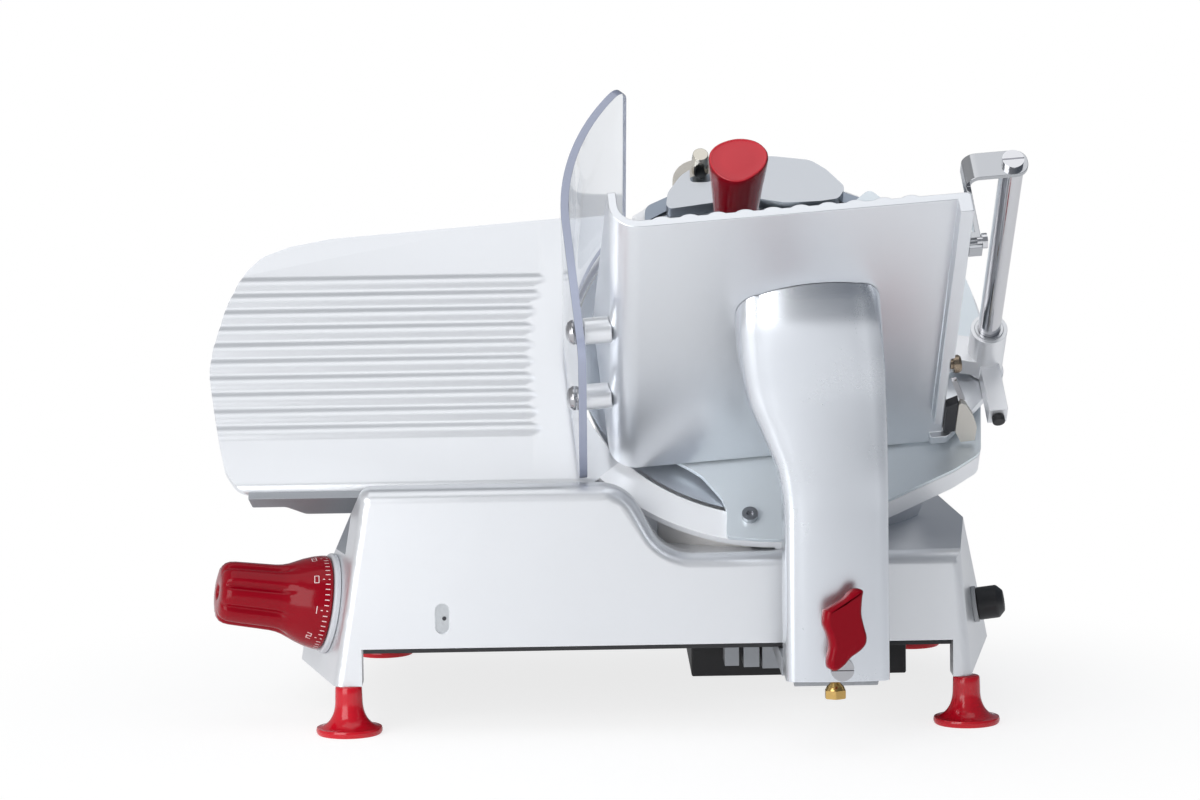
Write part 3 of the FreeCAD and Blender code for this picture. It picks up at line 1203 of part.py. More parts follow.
# Pusher: its rod beside the table, the bush that slides, the arm that swings, the toothed plate and the grip
rod = cylinder(rod_radius, rod_far_n, rod_near_n + 1.0, rod_x, rod_t)
save("pusher_rod", placed(rod, carriage_frame))
strip_low = rod_near_n + 1.2
strip = 3.0
strip_top = strip_low + strip
strip_half = 9.0
strip_bend = 8.0
strip_end_x = rod_x + strip_half
bent_strip = front_prism([(bracket_leg_left, bracket_far_n), (bracket_leg_left, strip_top),
                          (strip_end_x, strip_top), (strip_end_x, strip_low),
                          (bracket_leg_left + strip, strip_low), (bracket_leg_left + strip, bracket_far_n)],
                         rod_t - strip_half, rod_t + strip_half, [0, strip_bend, 0, 0, strip_bend - strip, 0])
bent_strip = bent_strip.common(prism([
    (bracket_leg_left, rod_t - strip_half), (strip_end_x, rod_t - strip_half),
    (strip_end_x, rod_t + strip_half), (bracket_leg_left, rod_t + strip_half)], bracket_far_n, strip_top,
    [0, strip_half - 1, strip_half - 1, 0]))
bracket = union([
    bent_strip,
    block((bracket_leg_left, -94.0, bracket_far_n),
          (bracket_leg_left + strip, rod_t + strip_half, strip_top - strip_bend)),
    block((table_right + 0.2, -94.0, bracket_far_n), (bracket_leg_left + 1, -82.0, strip_top - strip_bend))])
bracket = bracket.cut([cylinder(2.5, 0, 300, rod_x, rod_t),
                       rod_between(vector(80.0, -89.0, 222.0), vector(120.0, -89.0, 222.0), 2.5)])
save("rod_top_bracket", placed(bracket, carriage_frame))
rod_screw = cylinder(6.5, strip_low + strip, strip_low + strip + 3.5, rod_x, rod_t).fuse(
    cylinder(2.5, strip_low + 0.02, strip_low + strip + 0.5, rod_x, rod_t))
rod_screw = rod_screw.cut(block((rod_x - 8, rod_t - 0.6, strip_low + strip + 2.0),
                                (rod_x + 8, rod_t + 0.6, 300.0)))
side_screw = rod_between(vector(bracket_leg_left + strip, -89.0, 222.0),
                         vector(bracket_leg_left + strip + 3, -89.0, 222.0), 4.5).fuse(
    rod_between(vector(bracket_leg_left + 0.1, -89.0, 222.0), vector(bracket_leg_left + strip + 1, -89.0,
            222.0), 2.5))
save("rod_screws", [placed(rod_screw, carriage_frame), placed(side_screw, carriage_frame)])
pusher_bush_radius = rod_radius + 2.0
save("pusher_bush", placed(tube(pusher_bush_radius, rod_radius + shaft_gap, hub_far_n - 0.5,
                                hub_near_n + 0.5, rod_x, rod_t),
                           carriage_frame))
arm_far_n = 24.0
arm_near_n = 38.0
finger_near_n = 35.0
hub = union([
    cylinder(hub_radius, hub_far_n, hub_near_n, rod_x, rod_t),
    prism([(rod_x - 4, rod_t + 10), (handle_x + 6, handle_t + 10), (handle_x - 9, handle_t + 10),
           (handle_x - 9, handle_t - 8),
           (handle_x + 10, handle_t - 10), (rod_x - 4, rod_t - 10)], arm_far_n, arm_near_n, [0, 20, 8, 8,
                   20, 0]),
    cylinder(8.0, arm_near_n - 1, handle_far_n - 0.2, handle_x, handle_t),
    block((rod_x - 5, rod_t - 44, hub_far_n), (rod_x + 7, rod_t - 8, finger_near_n))])
hub = hub.cut([cylinder(pusher_bush_radius + shaft_gap, 0, 100, rod_x, rod_t),
               cylinder(3.0, 60.0, 100, handle_x, handle_t)])
save("pusher_hub", placed(hub, carriage_frame))
stop_pin = rod_between(vector(rod_x + 1, rod_t - 49, 28.0), vector(rod_x + 1, rod_t - 44 - 0.0, 28.0), 4.0)
save("stop_pin", placed(stop_pin, carriage_frame))
pusher_top = -12.0
plate_points = [(-95.0, -78.0), (78.0, -78.0), (78.0, -24.0), (40.0, pusher_top), (-70.0, pusher_top),
                (-95.0, -24.0)]
tab_points = [(handle_x - 9, -20.0), (handle_x + 30, -20.0), (handle_x + 30, handle_t - 4), (handle_x - 9,
        handle_t - 4)]
pusher_plate = union([
    prism(plate_points, pusher_plate_n - 3, pusher_plate_n + 1.8, [6, 6, 16, 20, 20, 16]),
    prism(tab_points, pusher_plate_n - 3, pusher_plate_n + 1.8, [0, 0, 4, 4])])
tooth_count = 9
for row in (-66.0, -48.0, -30.0):
    for i in range(tooth_count):
        tooth = Part.makeCone(2.2, 0.5, 5.0, vector(-80.0 + 18.0 * i, row, pusher_plate_n - 2.9),
                              vector(0, 0, -1))
        pusher_plate = pusher_plate.fuse(tooth)
save("pusher_plate", placed(pusher_plate.removeSplitter(), carriage_frame))
# Each section of the grip: height, half width, half depth
grip_sections = [(0.0, 11.5, 9.5), (12.0, 12.5, 10.5), (35.0, 14.0, 11.0), (65.0, 16.5, 12.0),
                 (95.0, 18.6, 13.2),
                 (109.0, 18.8, 13.5), (115.5, 16.5, 11.5), (118.8, 10.0, 6.5)]
grip_wires = []
for height, half_width, half_depth in grip_sections:
    oval = Part.Ellipse(vector(0, 0, height), half_width, half_depth).toShape()
    grip_wires.append(Part.Wire([oval]))
handle = Part.makeLoft(grip_wires, True, False)
handle = handle.cut(cylinder(3.0, -1, 20))
handle.translate(vector(handle_x, handle_t, handle_far_n))
save("pusher_handle", placed(handle, carriage_frame))

# Start and stop buttons in their plate
plate_thickness = 2.5
button_front_s = plate_thickness + 3.0
button_rear_s = -3.0
switch_plate = prism([(-13.0, -23.0), (13.0, -23.0), (13.0, 23.0), (-13.0, 23.0)], seat_gap,
                     plate_thickness, 4.0)
switch_plate = switch_plate.cut(button_holes)
save("switch_plate", placed(switch_plate, switch_frame))
for name, side in (("start_button", -1), ("stop_button", 1)):
    button = cylinder(switch_button_radius, button_rear_s, button_front_s, 0, side * button_spacing / 2)
    save(name, placed(button, switch_frame))
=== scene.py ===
import math

import bmesh
import bpy
from mathutils import Matrix, Vector


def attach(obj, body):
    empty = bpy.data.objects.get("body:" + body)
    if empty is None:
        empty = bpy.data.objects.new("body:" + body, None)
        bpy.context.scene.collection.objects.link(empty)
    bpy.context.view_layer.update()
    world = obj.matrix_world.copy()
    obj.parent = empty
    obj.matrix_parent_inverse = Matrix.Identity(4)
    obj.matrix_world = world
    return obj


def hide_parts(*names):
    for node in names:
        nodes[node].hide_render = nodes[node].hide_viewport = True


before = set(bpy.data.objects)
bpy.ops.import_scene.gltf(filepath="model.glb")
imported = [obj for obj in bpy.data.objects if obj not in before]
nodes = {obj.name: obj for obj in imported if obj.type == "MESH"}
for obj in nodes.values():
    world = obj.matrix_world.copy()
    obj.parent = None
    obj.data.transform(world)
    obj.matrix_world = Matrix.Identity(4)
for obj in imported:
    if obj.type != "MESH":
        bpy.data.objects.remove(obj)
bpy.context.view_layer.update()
scene = bpy.context.scene
scene.view_settings.view_transform = "Standard"


# Studio: a pale floor, a white surround that dims towards the right, a large soft lamp at the left
# and another above. The camera stands where the product shot was taken from.
def place_camera(position, yaw, pitch, roll, lens):
    """Camera looking along +Y turned by yaw, tipped down by pitch and rolled, in degrees."""
    camera = bpy.data.objects.new("shot_camera", bpy.data.cameras.new("shot_camera"))
    scene.collection.objects.link(camera)
    turn = Matrix.Rotation(math.radians(yaw), 4, "Z") @ Matrix.Rotation(math.radians(90 - pitch), 4, "X")
    camera.matrix_world = Matrix.Translation(position) @ turn @ Matrix.Rotation(math.radians(roll), 4, "Z")
    camera.data.sensor_width = 36.0
    camera.data.lens = lens
    camera.data.clip_end = 30.0
    scene.camera = camera


place_camera(position=Vector((-0.024167, -2.404483, 0.44095)), yaw=-0.48, pitch=5.79, roll=-0.90, lens=114.0)


def soft_lamp(name, position, target, size, power):
    """White rectangle lamp aimed at a target, its size in metres and its power in watts."""
    lamp = bpy.data.lights.new(name, "AREA")
    lamp.shape = "RECTANGLE"
    lamp.size, lamp.size_y = size
    lamp.energy = power
    holder = bpy.data.objects.new(name, lamp)
    scene.collection.objects.link(holder)
    aim = (Vector(target) - Vector(position)).to_track_quat("-Z", "Y")
    holder.matrix_world = Matrix.Translation(position) @ aim.to_matrix().to_4x4()


soft_lamp("left_softbox", position=(-0.88, -1.3, 0.5), target=(0.0, -0.05, 0.2), size=(1.1, 1.5), power=18.2)
soft_lamp("top_softbox", position=(0.1, -0.35, 1.9), target=(0.0, -0.05, 0.1), size=(1.8, 1.2), power=6.2)


def feed(tree, node, inputs):
    """Gives a node's inputs plain values, or links them to sockets."""
    for name, value in inputs.items():
        if hasattr(value, "is_output"):
            tree.links.new(value, node.inputs[name])
        else:
            node.inputs[name].default_value = value


def add_node(tree, kind, inputs=None, **settings):
    """New shader node with its own settings and inputs."""
    node = tree.nodes.new("ShaderNode" + kind)
    for name, value in settings.items():
        setattr(node, name, value)
    feed(tree, node, inputs or {})
    return node


def link_math(tree, operation, first, second):
    """Result of a sum on sockets or plain numbers."""
    return add_node(tree, "Math", {0: first, 1: second}, operation=operation).outputs[0]


def surround(light_level, dark_colour, dark_at, white_at, lean_x, lean_y):
    """Light that dims towards one side for surfaces, pure white for the camera and through clear sheet."""
    world = bpy.data.worlds.new("studio_surround")
    world.use_nodes = True
    tree = world.node_tree
    tree.nodes.clear()
    place = add_node(tree, "TexCoord")
    split = add_node(tree, "SeparateXYZ", {0: place.outputs["Generated"]})
    lean = link_math(tree, "ADD", link_math(tree, "MULTIPLY", split.outputs["X"], lean_x),
                     link_math(tree, "MULTIPLY", split.outputs["Y"], lean_y))
    ramp = add_node(tree, "ValToRGB", {0: link_math(tree, "ADD", lean, 0.5)})
    dark_end, white_end = ramp.color_ramp.elements
    dark_end.position = dark_at
    dark_end.color = (*dark_colour, 1.0)
    white_end.position = white_at
    white_end.color = (1.0, 1.0, 1.0, 1.0)
    light = add_node(tree, "Background", {"Color": ramp.outputs[0], "Strength": light_level})
    white = add_node(tree, "Background", {"Color": (1.0, 1.0, 1.0, 1.0)})
    path = add_node(tree, "LightPath")
    plain = link_math(tree, "MAXIMUM", path.outputs["Is Camera Ray"], path.outputs["Is Transmission Ray"])
    mix = add_node(tree, "MixShader", {0: plain, 1: light.outputs[0], 2: white.outputs[0]})
    add_node(tree, "OutputWorld", {"Surface": mix.outputs[0]})
    scene.world = world


surround(light_level=0.62, dark_colour=(0.29, 0.32, 0.37), dark_at=0.36, white_at=0.92, lean_x=-0.35,
         lean_y=-0.06)


def lay_floor(half_width, fade_start, fade_end, least):
    """Matte white floor that keeps a light shadow and turns plain white further off for the camera."""
    mesh = bpy.data.meshes.new("studio_floor")
    form = bmesh.new()
    bmesh.ops.create_grid(form, x_segments=1, y_segments=1, size=half_width)
    form.to_mesh(mesh)
    form.free()
    floor = bpy.data.objects.new("studio_floor", mesh)
    scene.collection.objects.link(floor)
    paint = bpy.data.materials.new("floor_white")
    paint.use_nodes = True
    tree = paint.node_tree
    shader = tree.nodes["Principled BSDF"]
    feed(tree, shader, {"Base Color": (0.9, 0.9, 0.9, 1.0), "Roughness": 0.9, "Specular IOR Level": 0.1,
                        "Emission Color": (1.0, 1.0, 1.0, 1.0), "Emission Strength": 0.35})
    glow = add_node(tree, "Emission")
    place = add_node(tree, "TexCoord")
    length = add_node(tree, "VectorMath", {0: place.outputs["Object"]}, operation="LENGTH")
    fade = add_node(tree, "MapRange", interpolation_type="SMOOTHSTEP", inputs={
        "Value": length.outputs["Value"], "From Min": fade_start, "From Max": fade_end, "To Min": least})
    path = add_node(tree, "LightPath")
    faded = link_math(tree, "MULTIPLY", fade.outputs["Result"], path.outputs["Is Camera Ray"])
    mix = add_node(tree, "MixShader", {0: faded, 1: shader.outputs[0], 2: glow.outputs[0]})
    feed(tree, tree.nodes["Material Output"], {"Surface": mix.outputs[0]})
    mesh.materials.append(paint)


lay_floor(half_width=7.0, fade_start=0.22, fade_end=0.5, least=0.68)

# Base casting: one thin aluminium casting with a satin anodised finish, softly rounded along its
# edges. It stands on four legs and carries the slanted drum behind the blade.


def effect_group(name, inputs, outputs):
    """Empty shader group with float inputs and named outputs."""
    group = bpy.data.node_groups.new(name, "ShaderNodeTree")
    for label, value in inputs:
        group.interface.new_socket(label, in_out="INPUT", socket_type="NodeSocketFloat").default_value = value
    for label, kind in outputs:
        group.interface.new_socket(label, in_out="OUTPUT", socket_type=kind)
    return group, group.nodes.new("NodeGroupInput"), group.nodes.new("NodeGroupOutput")


def grain_group():
    """Fine cast skin: a tone, a roughness shift and a height, from two sizes of noise."""
    group, given, out = effect_group(
        "cast_skin",
        (("Fine Scale", 900.0), ("Broad Scale", 14.0), ("Tone Spread", 0.05), ("Rough Spread", 0.08)),
        (("Tone", "NodeSocketFloat"), ("Rough Shift", "NodeSocketFloat"), ("Height", "NodeSocketFloat")))
    place = add_node(group, "TexCoord").outputs["Object"]
    fine = add_node(group, "TexNoise", {"Vector": place, "Scale": given.outputs["Fine Scale"], "Detail": 3.0})
    broad = add_node(group, "TexNoise", {"Vector": place, "Scale": given.outputs["Broad Scale"],
                                         "Detail": 4.0, "Roughness": 0.6})
    fine_shift = link_math(group, "SUBTRACT", fine.outputs["Fac"], 0.5)
    broad_shift = link_math(group, "SUBTRACT", broad.outputs["Fac"], 0.5)
    both = link_math(group, "ADD", link_math(group, "MULTIPLY", fine_shift, 0.5), broad_shift)
    tone = link_math(group, "ADD", link_math(group, "MULTIPLY", both, given.outputs["Tone Spread"]), 1.0)
    rough = link_math(group, "MULTIPLY", both, given.outputs["Rough Spread"])
    feed(group, out, {"Tone": tone, "Rough Shift": rough, "Height": fine.outputs["Fac"]})
    return group


def wear_group():
    """Mask of the outer edges, where handling rubs a surface: rounded normal against true normal."""
    group, given, out = effect_group(
        "edge_wear",
        (("Reach", 0.0012), ("Strength", 0.5), ("Patch Scale", 120.0)),
        (("Mask", "NodeSocketFloat"),))
    rounded = add_node(group, "Bevel", {"Radius": given.outputs["Reach"]}, samples=4)
    true = add_node(group, "NewGeometry")
    dot = add_node(group, "VectorMath", {0: rounded.outputs["Normal"], 1: true.outputs["Normal"]},
                   operation="DOT_PRODUCT")
    place = add_node(group, "TexCoord")
    patches = add_node(group, "TexNoise", {"Vector": place.outputs["Object"],
                                           "Scale": given.outputs["Patch Scale"]})
    patch_gain = 12.0
    bend = link_math(group, "SUBTRACT", 1.0, dot.outputs["Value"])
    broken = link_math(group, "MULTIPLY", bend, link_math(group, "MULTIPLY", patches.outputs["Fac"], patch_gain))
    mask = link_math(group, "MULTIPLY", broken, given.outputs["Strength"])
    feed(group, out, {"Mask": add_node(group, "Clamp", {"Value": mask}).outputs[0]})
    return group


cast_skin = grain_group()
edge_wear = wear_group()


def finish_paint(name, colour, metallic, roughness, fine_scale=900.0, tone_spread=0.05, rough_spread=0.08,
                 bump=0.00002, worn_colour=None, worn_rough=-0.1, wear=0.5, coat=0.0, specular=0.5):
    """Principled material whose colour, roughness and bump vary with the cast skin and worn edges."""
    paint = bpy.data.materials.new(name)
    paint.use_nodes = True
    tree = paint.node_tree
    skin = add_node(tree, "Group", node_tree=cast_skin, inputs={
        "Fine Scale": fine_scale, "Tone Spread": tone_spread, "Rough Spread": rough_spread})
    worn = add_node(tree, "Group", {"Strength": wear}, node_tree=edge_wear)
    toned = add_node(tree, "Mix", {"Factor": 1.0, "A": (*colour, 1.0), "B": skin.outputs["Tone"]},
                     data_type="RGBA", blend_type="MULTIPLY")
    rubbed = worn_colour or [min(1.0, c * 1.1) for c in colour]
    edged = add_node(tree, "Mix", {"Factor": worn.outputs["Mask"], "A": toned.outputs["Result"],
                                   "B": (*rubbed, 1.0)}, data_type="RGBA")
    base_rough = link_math(tree, "ADD", skin.outputs["Rough Shift"], roughness)
    edge_rough = link_math(tree, "MULTIPLY", worn.outputs["Mask"], worn_rough)
    relief = add_node(tree, "Bump", {"Strength": 1.0, "Distance": bump, "Height": skin.outputs["Height"]})
    feed(tree, tree.nodes["Principled BSDF"], {
        "Metallic": metallic, "Specular IOR Level": specular, "Coat Weight": coat, "Coat Roughness": 0.08,
        "Base Color": edged.outputs["Result"], "Roughness": link_math(tree, "ADD", base_rough, edge_rough),
        "Normal": relief.outputs["Normal"]})
    return paint


def round_edges(piece, width, segments, angle, flat=1.5):
    """Joins a CAD node's loose triangles, clears the lines on its flat faces and rounds its edges."""
    weld = piece.modifiers.new("weld", "WELD")
    weld.merge_threshold = 0.00002
    plain = piece.modifiers.new("flatten", "DECIMATE")
    plain.decimate_type = "DISSOLVE"
    plain.angle_limit = math.radians(flat)
    bevel = piece.modifiers.new("round", "BEVEL")
    bevel.width = width
    bevel.segments = segments
    bevel.limit_method = "ANGLE"
    bevel.angle_limit = math.radians(angle)
    even = piece.modifiers.new("even", "WEIGHTED_NORMAL")
    even.weight = 100
    for face in piece.data.polygons:
        face.use_smooth = True


def dress(name, paint, width=0.0006, segments=2, angle=28.0):
    """Gives a CAD node its finish and rounds its edges."""
    piece = nodes[name]
    piece.data.materials.clear()
    piece.data.materials.append(paint)
    round_edges(piece, width, segments, angle)


satin_aluminium = finish_paint("satin_aluminium", (0.76, 0.775, 0.80), 0.74, 0.33, tone_spread=0.03)
dress("base_casting", satin_aluminium, 0.0009, 2, angle=32.0)

# Ring skirt: the cast band under the ring guard, coaxial with the blade. It is part of the base
# casting and closes it from the guard down to the deck. Its paint is a lighter, warmer and less
# metallic copy of the casting's satin aluminium: painted light and a warm painted reflection on a
# band that sits in shade under the ring.

# Pieces are drawn about the point midway between the feet and moved by this step. The blade frame leans
# back by 50 degrees: x along the machine, t up the blade's face and n out of it.
step = Matrix.Translation((0.028303, 0.068377, 0.0))
blade_frame = step @ Matrix.Translation((0.077, -0.045, 0.2247)) @ Matrix.Rotation(math.radians(50.0), 4, "X")


def new_piece(name, form, place, paints, body, replaced=None, sharp=35.0):
    """Turns a bmesh drawn in millimetres into a piece that rides on a body of the machine."""
    bmesh.ops.transform(form, matrix=place @ Matrix.Scale(0.001, 4), verts=form.verts)
    bmesh.ops.remove_doubles(form, verts=form.verts, dist=1e-6)
    bmesh.ops.recalc_face_normals(form, faces=form.faces)
    mesh = bpy.data.meshes.new(name)
    form.to_mesh(mesh)
    form.free()
    mesh.shade_smooth()
    mesh.set_sharp_from_angle(angle=math.radians(sharp))
    for paint in paints:
        mesh.materials.append(paint)
    piece = bpy.data.objects.new(name, mesh)
    scene.collection.objects.link(piece)
    if replaced:
        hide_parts(*replaced)
    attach(piece, body)
    return piece


def ring_form(form, rings, capped=True, slot=0):
    """Skin over rings of points, each ring with the same number of points, capped at both ends."""
    loops = [[form.verts.new(point) for point in ring] for ring in rings]
    count = len(loops[0])
    for low, high in zip(loops, loops[1:]):
        for k in range(count):
            face = form.faces.new((low[k], low[(k + 1) % count], high[(k + 1) % count], high[k]))
            face.material_index = slot
    if capped:
        form.faces.new(list(reversed(loops[0]))).material_index = slot
        form.faces.new(loops[-1]).material_index = slot


skirt_inner, skirt_outer, skirt_top, skirt_low = 136.5, 140.0, -3.2, -42.0
skirt_start, skirt_end, skirt_steps = 236.0, 263.0, 28
deck_z, blade_centre_z, lean_sine, lean_cosine = 107.5, 224.7, 0.766, 0.643
skirt = bmesh.new()
skirt_rings = []
for k in range(skirt_steps + 1):
    turn = math.radians(skirt_start + (skirt_end - skirt_start) * k / skirt_steps)
    floor_n = (deck_z - blade_centre_z - lean_sine * skirt_outer * math.sin(turn)) / lean_cosine
    low_n = max(min(floor_n, skirt_top - 1.0), skirt_low)
    skirt_rings.append([(radius * math.cos(turn), radius * math.sin(turn), n)
                        for radius, n in ((skirt_inner, skirt_top), (skirt_outer, skirt_top),
                                          (skirt_outer, low_n), (skirt_inner, low_n))])
ring_form(skirt, skirt_rings)
# Painted light: a whiter, warmer, less metallic copy of the satin aluminium for the shaded band under the ring,
# with a warm painted reflection.
skirt_painted_light = finish_paint("skirt_painted_light", (0.93, 0.91, 0.89), 0.25, 0.45, tone_spread=0.02)
new_piece("ring_skirt", skirt, blade_frame, [skirt_painted_light], body="base")

# Recess floor: a thin rough grey sheet laid in the small pill shaped recess in the front wall, darker
# than the casting: painted shade in the recess. The dark end of a pin stands in it.
recess_painted_shade = finish_paint("recess_painted_shade", (0.50, 0.52, 0.54), 0.9, 0.4, fine_scale=500.0, tone_spread=0.3,
                           bump=0.0002)
pin_dark = finish_paint("pin_dark", (0.05, 0.05, 0.055), 0.6, 0.35)
pill_centre, pill_radius, pill_half, pill_steps = (-132.5, 71.5), 4.1, 5.0, 32
pin_centre, pin_radius = (-131.3, 71.5), 1.3


def circle(radius, steps, centre=(0.0, 0.0)):
    """Points of a circle as pairs."""
    return [(centre[0] + radius * math.cos(math.tau * k / steps),
             centre[1] + radius * math.sin(math.tau * k / steps)) for k in range(steps)]


recess = bmesh.new()
pill = [(x, z + (pill_half if k < pill_steps // 2 else -pill_half))
        for k, (x, z) in enumerate(circle(pill_radius, pill_steps, pill_centre))]
ring_form(recess, [[(x, y, z) for x, z in pill] for y in (-150.3, -150.65)])
pin = circle(pin_radius, 16, pin_centre)
ring_form(recess, [[(x, y, z) for x, z in pin] for y in (-150.5, -151.3)], slot=1)
new_piece("recess_floor", recess, step, [recess_painted_shade, pin_dark], body="base")

# Bottom cover and motor tray: a plain sheet that closes the base from below, and a pressed tray under
# the motor. Both are sheet steel painted black, and screwed on.
black_tray = finish_paint("black_tray", (0.012, 0.012, 0.014), 0.0, 0.5, bump=0.00004)
dress("bottom_cover", black_tray, 0.0003)
dress("motor_tray", black_tray, 0.0012, 3)

# Feet: four flared cups of glossy red rubber, each moulded in one piece and pushed on to the end of a
# leg. Its rim stands on the worktop.
red_rubber = finish_paint("red_foot_rubber", (0.56, 0.004, 0.016), 0.0, 0.16, fine_scale=700.0,
                          worn_colour=(0.62, 0.03, 0.04), bump=0.00001)
foot_places = [(-191.5, -147.5), (191.5, -147.5), (-183.5, 147.5), (183.5, 147.5)]
foot_rim = [(0.0, 0.6), (17.6, 0.6), (18.6, 0.2), (19.4, 0.0), (20.0, 0.5), (20.5, 1.6), (20.6, 3.0),
            (20.2, 4.2)]
foot_neck = [(8.4, 25.0), (8.3, 28.6), (8.0, 29.5), (7.3, 29.9), (0.0, 29.9)]
flare_steps, flare_radius, flare_height, flare_top_radius, flare_low_z = 16, 11.7, 17.8, 8.5, 4.2
flare_turns = [math.radians(90.0 * k / flare_steps) for k in range(1, flare_steps + 1)]
foot_flare = [(flare_top_radius + flare_radius * (1.0 - math.sin(turn)) ** 1.15,
               flare_low_z + flare_height * (1.0 - math.cos(turn)) ** 0.95) for turn in flare_turns]


def turned(form, profile, steps=64, centre=(0.0, 0.0)):
    """Solid of revolution about the third axis from pairs of radius and height."""
    ring_form(form, [[(x, y, height) for x, y in circle(radius, steps, centre)]
                     for radius, height in profile])


feet = bmesh.new()
for foot_place in foot_places:
    turned(feet, foot_rim + foot_flare + foot_neck, steps=56, centre=foot_place)
new_piece("feet", feet, step, [red_rubber], replaced=["rubber_feet"], body="base")

# Cable gland: black moulded nylon nut with a rounded cap, screwed on through the right wall. A grey
# rubber washer lies between it and the wall.
black_nylon = finish_paint("black_nylon", (0.016, 0.016, 0.018), 0.0, 0.42, worn_colour=(0.05, 0.05, 0.05))
grey_rubber = finish_paint("grey_washer", (0.42, 0.43, 0.44), 0.0, 0.5)
dress("cable_gland", black_nylon, 0.0008, 3)
dress("gland_washer", grey_rubber, 0.0003)

# Blade housing and ring guard: one cast pan behind the blade with a satin rim round the blade's edge,
# bolted to the base's drum. Its paint is a whiter, less metallic copy of satin aluminium: painted light
# on a ring that sits in shade.
ring_painted_light = finish_paint("ring_painted_light", (0.95, 0.96, 0.98), 0.25, 0.36, tone_spread=0.02)
dress("blade_housing", ring_painted_light, 0.0006, 2)

# Blade: hollow ground round knife of polished steel, with the fine rings that grinding leaves. Three
# screws hold it on the spindle.
blade_steel = finish_paint("ground_steel", (0.60, 0.64, 0.70), 0.75, 0.44, tone_spread=0.02, bump=0.00001)


def add_rings(paint, centre, axis, scale, depth):
    """Fine concentric lines round an axis, as a bump."""
    tree = paint.node_tree
    coord = add_node(tree, "TexCoord")
    offset = add_node(tree, "VectorMath", {0: coord.outputs["Object"], 1: centre}, operation="SUBTRACT")
    cross = add_node(tree, "VectorMath", {0: offset.outputs["Vector"], 1: axis}, operation="CROSS_PRODUCT")
    length = add_node(tree, "VectorMath", {0: cross.outputs["Vector"]}, operation="LENGTH")
    rings = add_node(tree, "TexNoise", {"Scale": scale, "Detail": 3.0, "W": length.outputs["Value"]},
                     noise_dimensions="1D")
    relief = add_node(tree, "Bump", {"Distance": depth, "Height": rings.outputs["Fac"]})
    feed(tree, tree.nodes["Principled BSDF"], {"Normal": relief.outputs["Normal"]})


add_rings(blade_steel, centre=(0.105303, 0.023377, 0.2247), axis=(0.0, -0.766044, 0.642788), scale=1400.0,
          depth=0.00002)
blade_section = [(16.0, -5.5), (92.0, -5.5), (108.0, -3.3), (119.0, -1.2), (124.9, 2.8), (124.9, 3.0),
                 (123.0, 2.45), (117.0, 0.7), (111.5, -0.75), (107.0, -1.35), (96.0, -1.6), (16.0, -1.6)]
blade_steps = 180
blade = bmesh.new()
ring_form(blade, [[(x, t, n) for x, t in circle(radius, blade_steps)]
                  for radius, n in blade_section + blade_section[:1]], capped=False)
new_piece("round_blade", blade, blade_frame, [blade_steel], replaced=["blade"], body="blade_drive",
          sharp=20.0)

# Spindle, pulleys, bearings, shafts and the other turned steel pieces inside the casting, and the black
# rubber belt that drives the blade.
turned_steel = finish_paint("turned_steel", (0.60, 0.61, 0.63), 1.0, 0.28)
belt_black = finish_paint("belt_black", (0.02, 0.02, 0.02), 0.0, 0.65)
for hidden in ("blade_spindle", "spindle_bearings", "motor_shaft", "motor_pulley", "blade_pulley",
               "blade_screws", "tie_rod", "knob_shaft", "thickness_cam", "cam_follower", "slide_bushes",
               "arm_pivot_pin"):
    dress(hidden, turned_steel, 0.0002, 1)
dress("drive_belt", belt_black, 0.0003, 1)

# Motor: finned body of grey cast aluminium, its flange held in the drum behind the blade. Its shaft turns
# the small pulley of the belt.
motor_grey = finish_paint("motor_grey", (0.35, 0.36, 0.38), 1.0, 0.5, fine_scale=500.0, bump=0.00006)
dress("motor_body", motor_grey, 0.0004, 1)

# Blade cover: flat satin plate over the blade, with a zinc plated bolt and screw. Its paint is a lighter,
# less metallic copy of satin aluminium: painted light on a cover that lies in the table's shade. The tie
# rod pulls it on from behind, where its black knob stands. The deflector is a thin band round the drum's
# left side.
cover_painted_light = finish_paint("cover_painted_light", (0.79, 0.85, 0.89), 0.5, 0.36, tone_spread=0.02)
dress("blade_cover", cover_painted_light, 0.0008, 3)
zinc = finish_paint("zinc_screws", (0.40, 0.41, 0.43), 1.0, 0.24)
dress("blade_cover_screws", zinc, 0.0004, 2)
dress("tie_rod_knob", black_nylon, 0.001, 3)
dress("slice_deflector", satin_aluminium, 0.0003, 1)

# Sharpener: blue-grey plate over the top of the housing, with a satin cover screwed on it. A grinding
# wheel behind the blade's edge and a deburring wheel in front of it sit on nickel plated shafts, which are
# pressed by hand.
blue_plate = finish_paint("blue_plate", (0.30, 0.34, 0.40), 1.0, 0.38)
abrasive = finish_paint("abrasive", (0.60, 0.57, 0.52), 0.0, 0.85, fine_scale=1600.0, tone_spread=0.3,
                        bump=0.0001)
nickel = finish_paint("nickel", (0.60, 0.57, 0.50), 1.0, 0.2)
dress("sharpener_base", blue_plate, 0.0005, 2)
cover_grey = finish_paint("cover_grey", (0.54, 0.56, 0.59), 1.0, 0.30, tone_spread=0.03)
dress("sharpener_cover", cover_grey, 0.0018, 4)
for wheel in ("grinding", "deburring"):
    dress(wheel + "_stone", abrasive, 0.0004, 1)
    dress(wheel + "_shaft", nickel, 0.0006, 2)

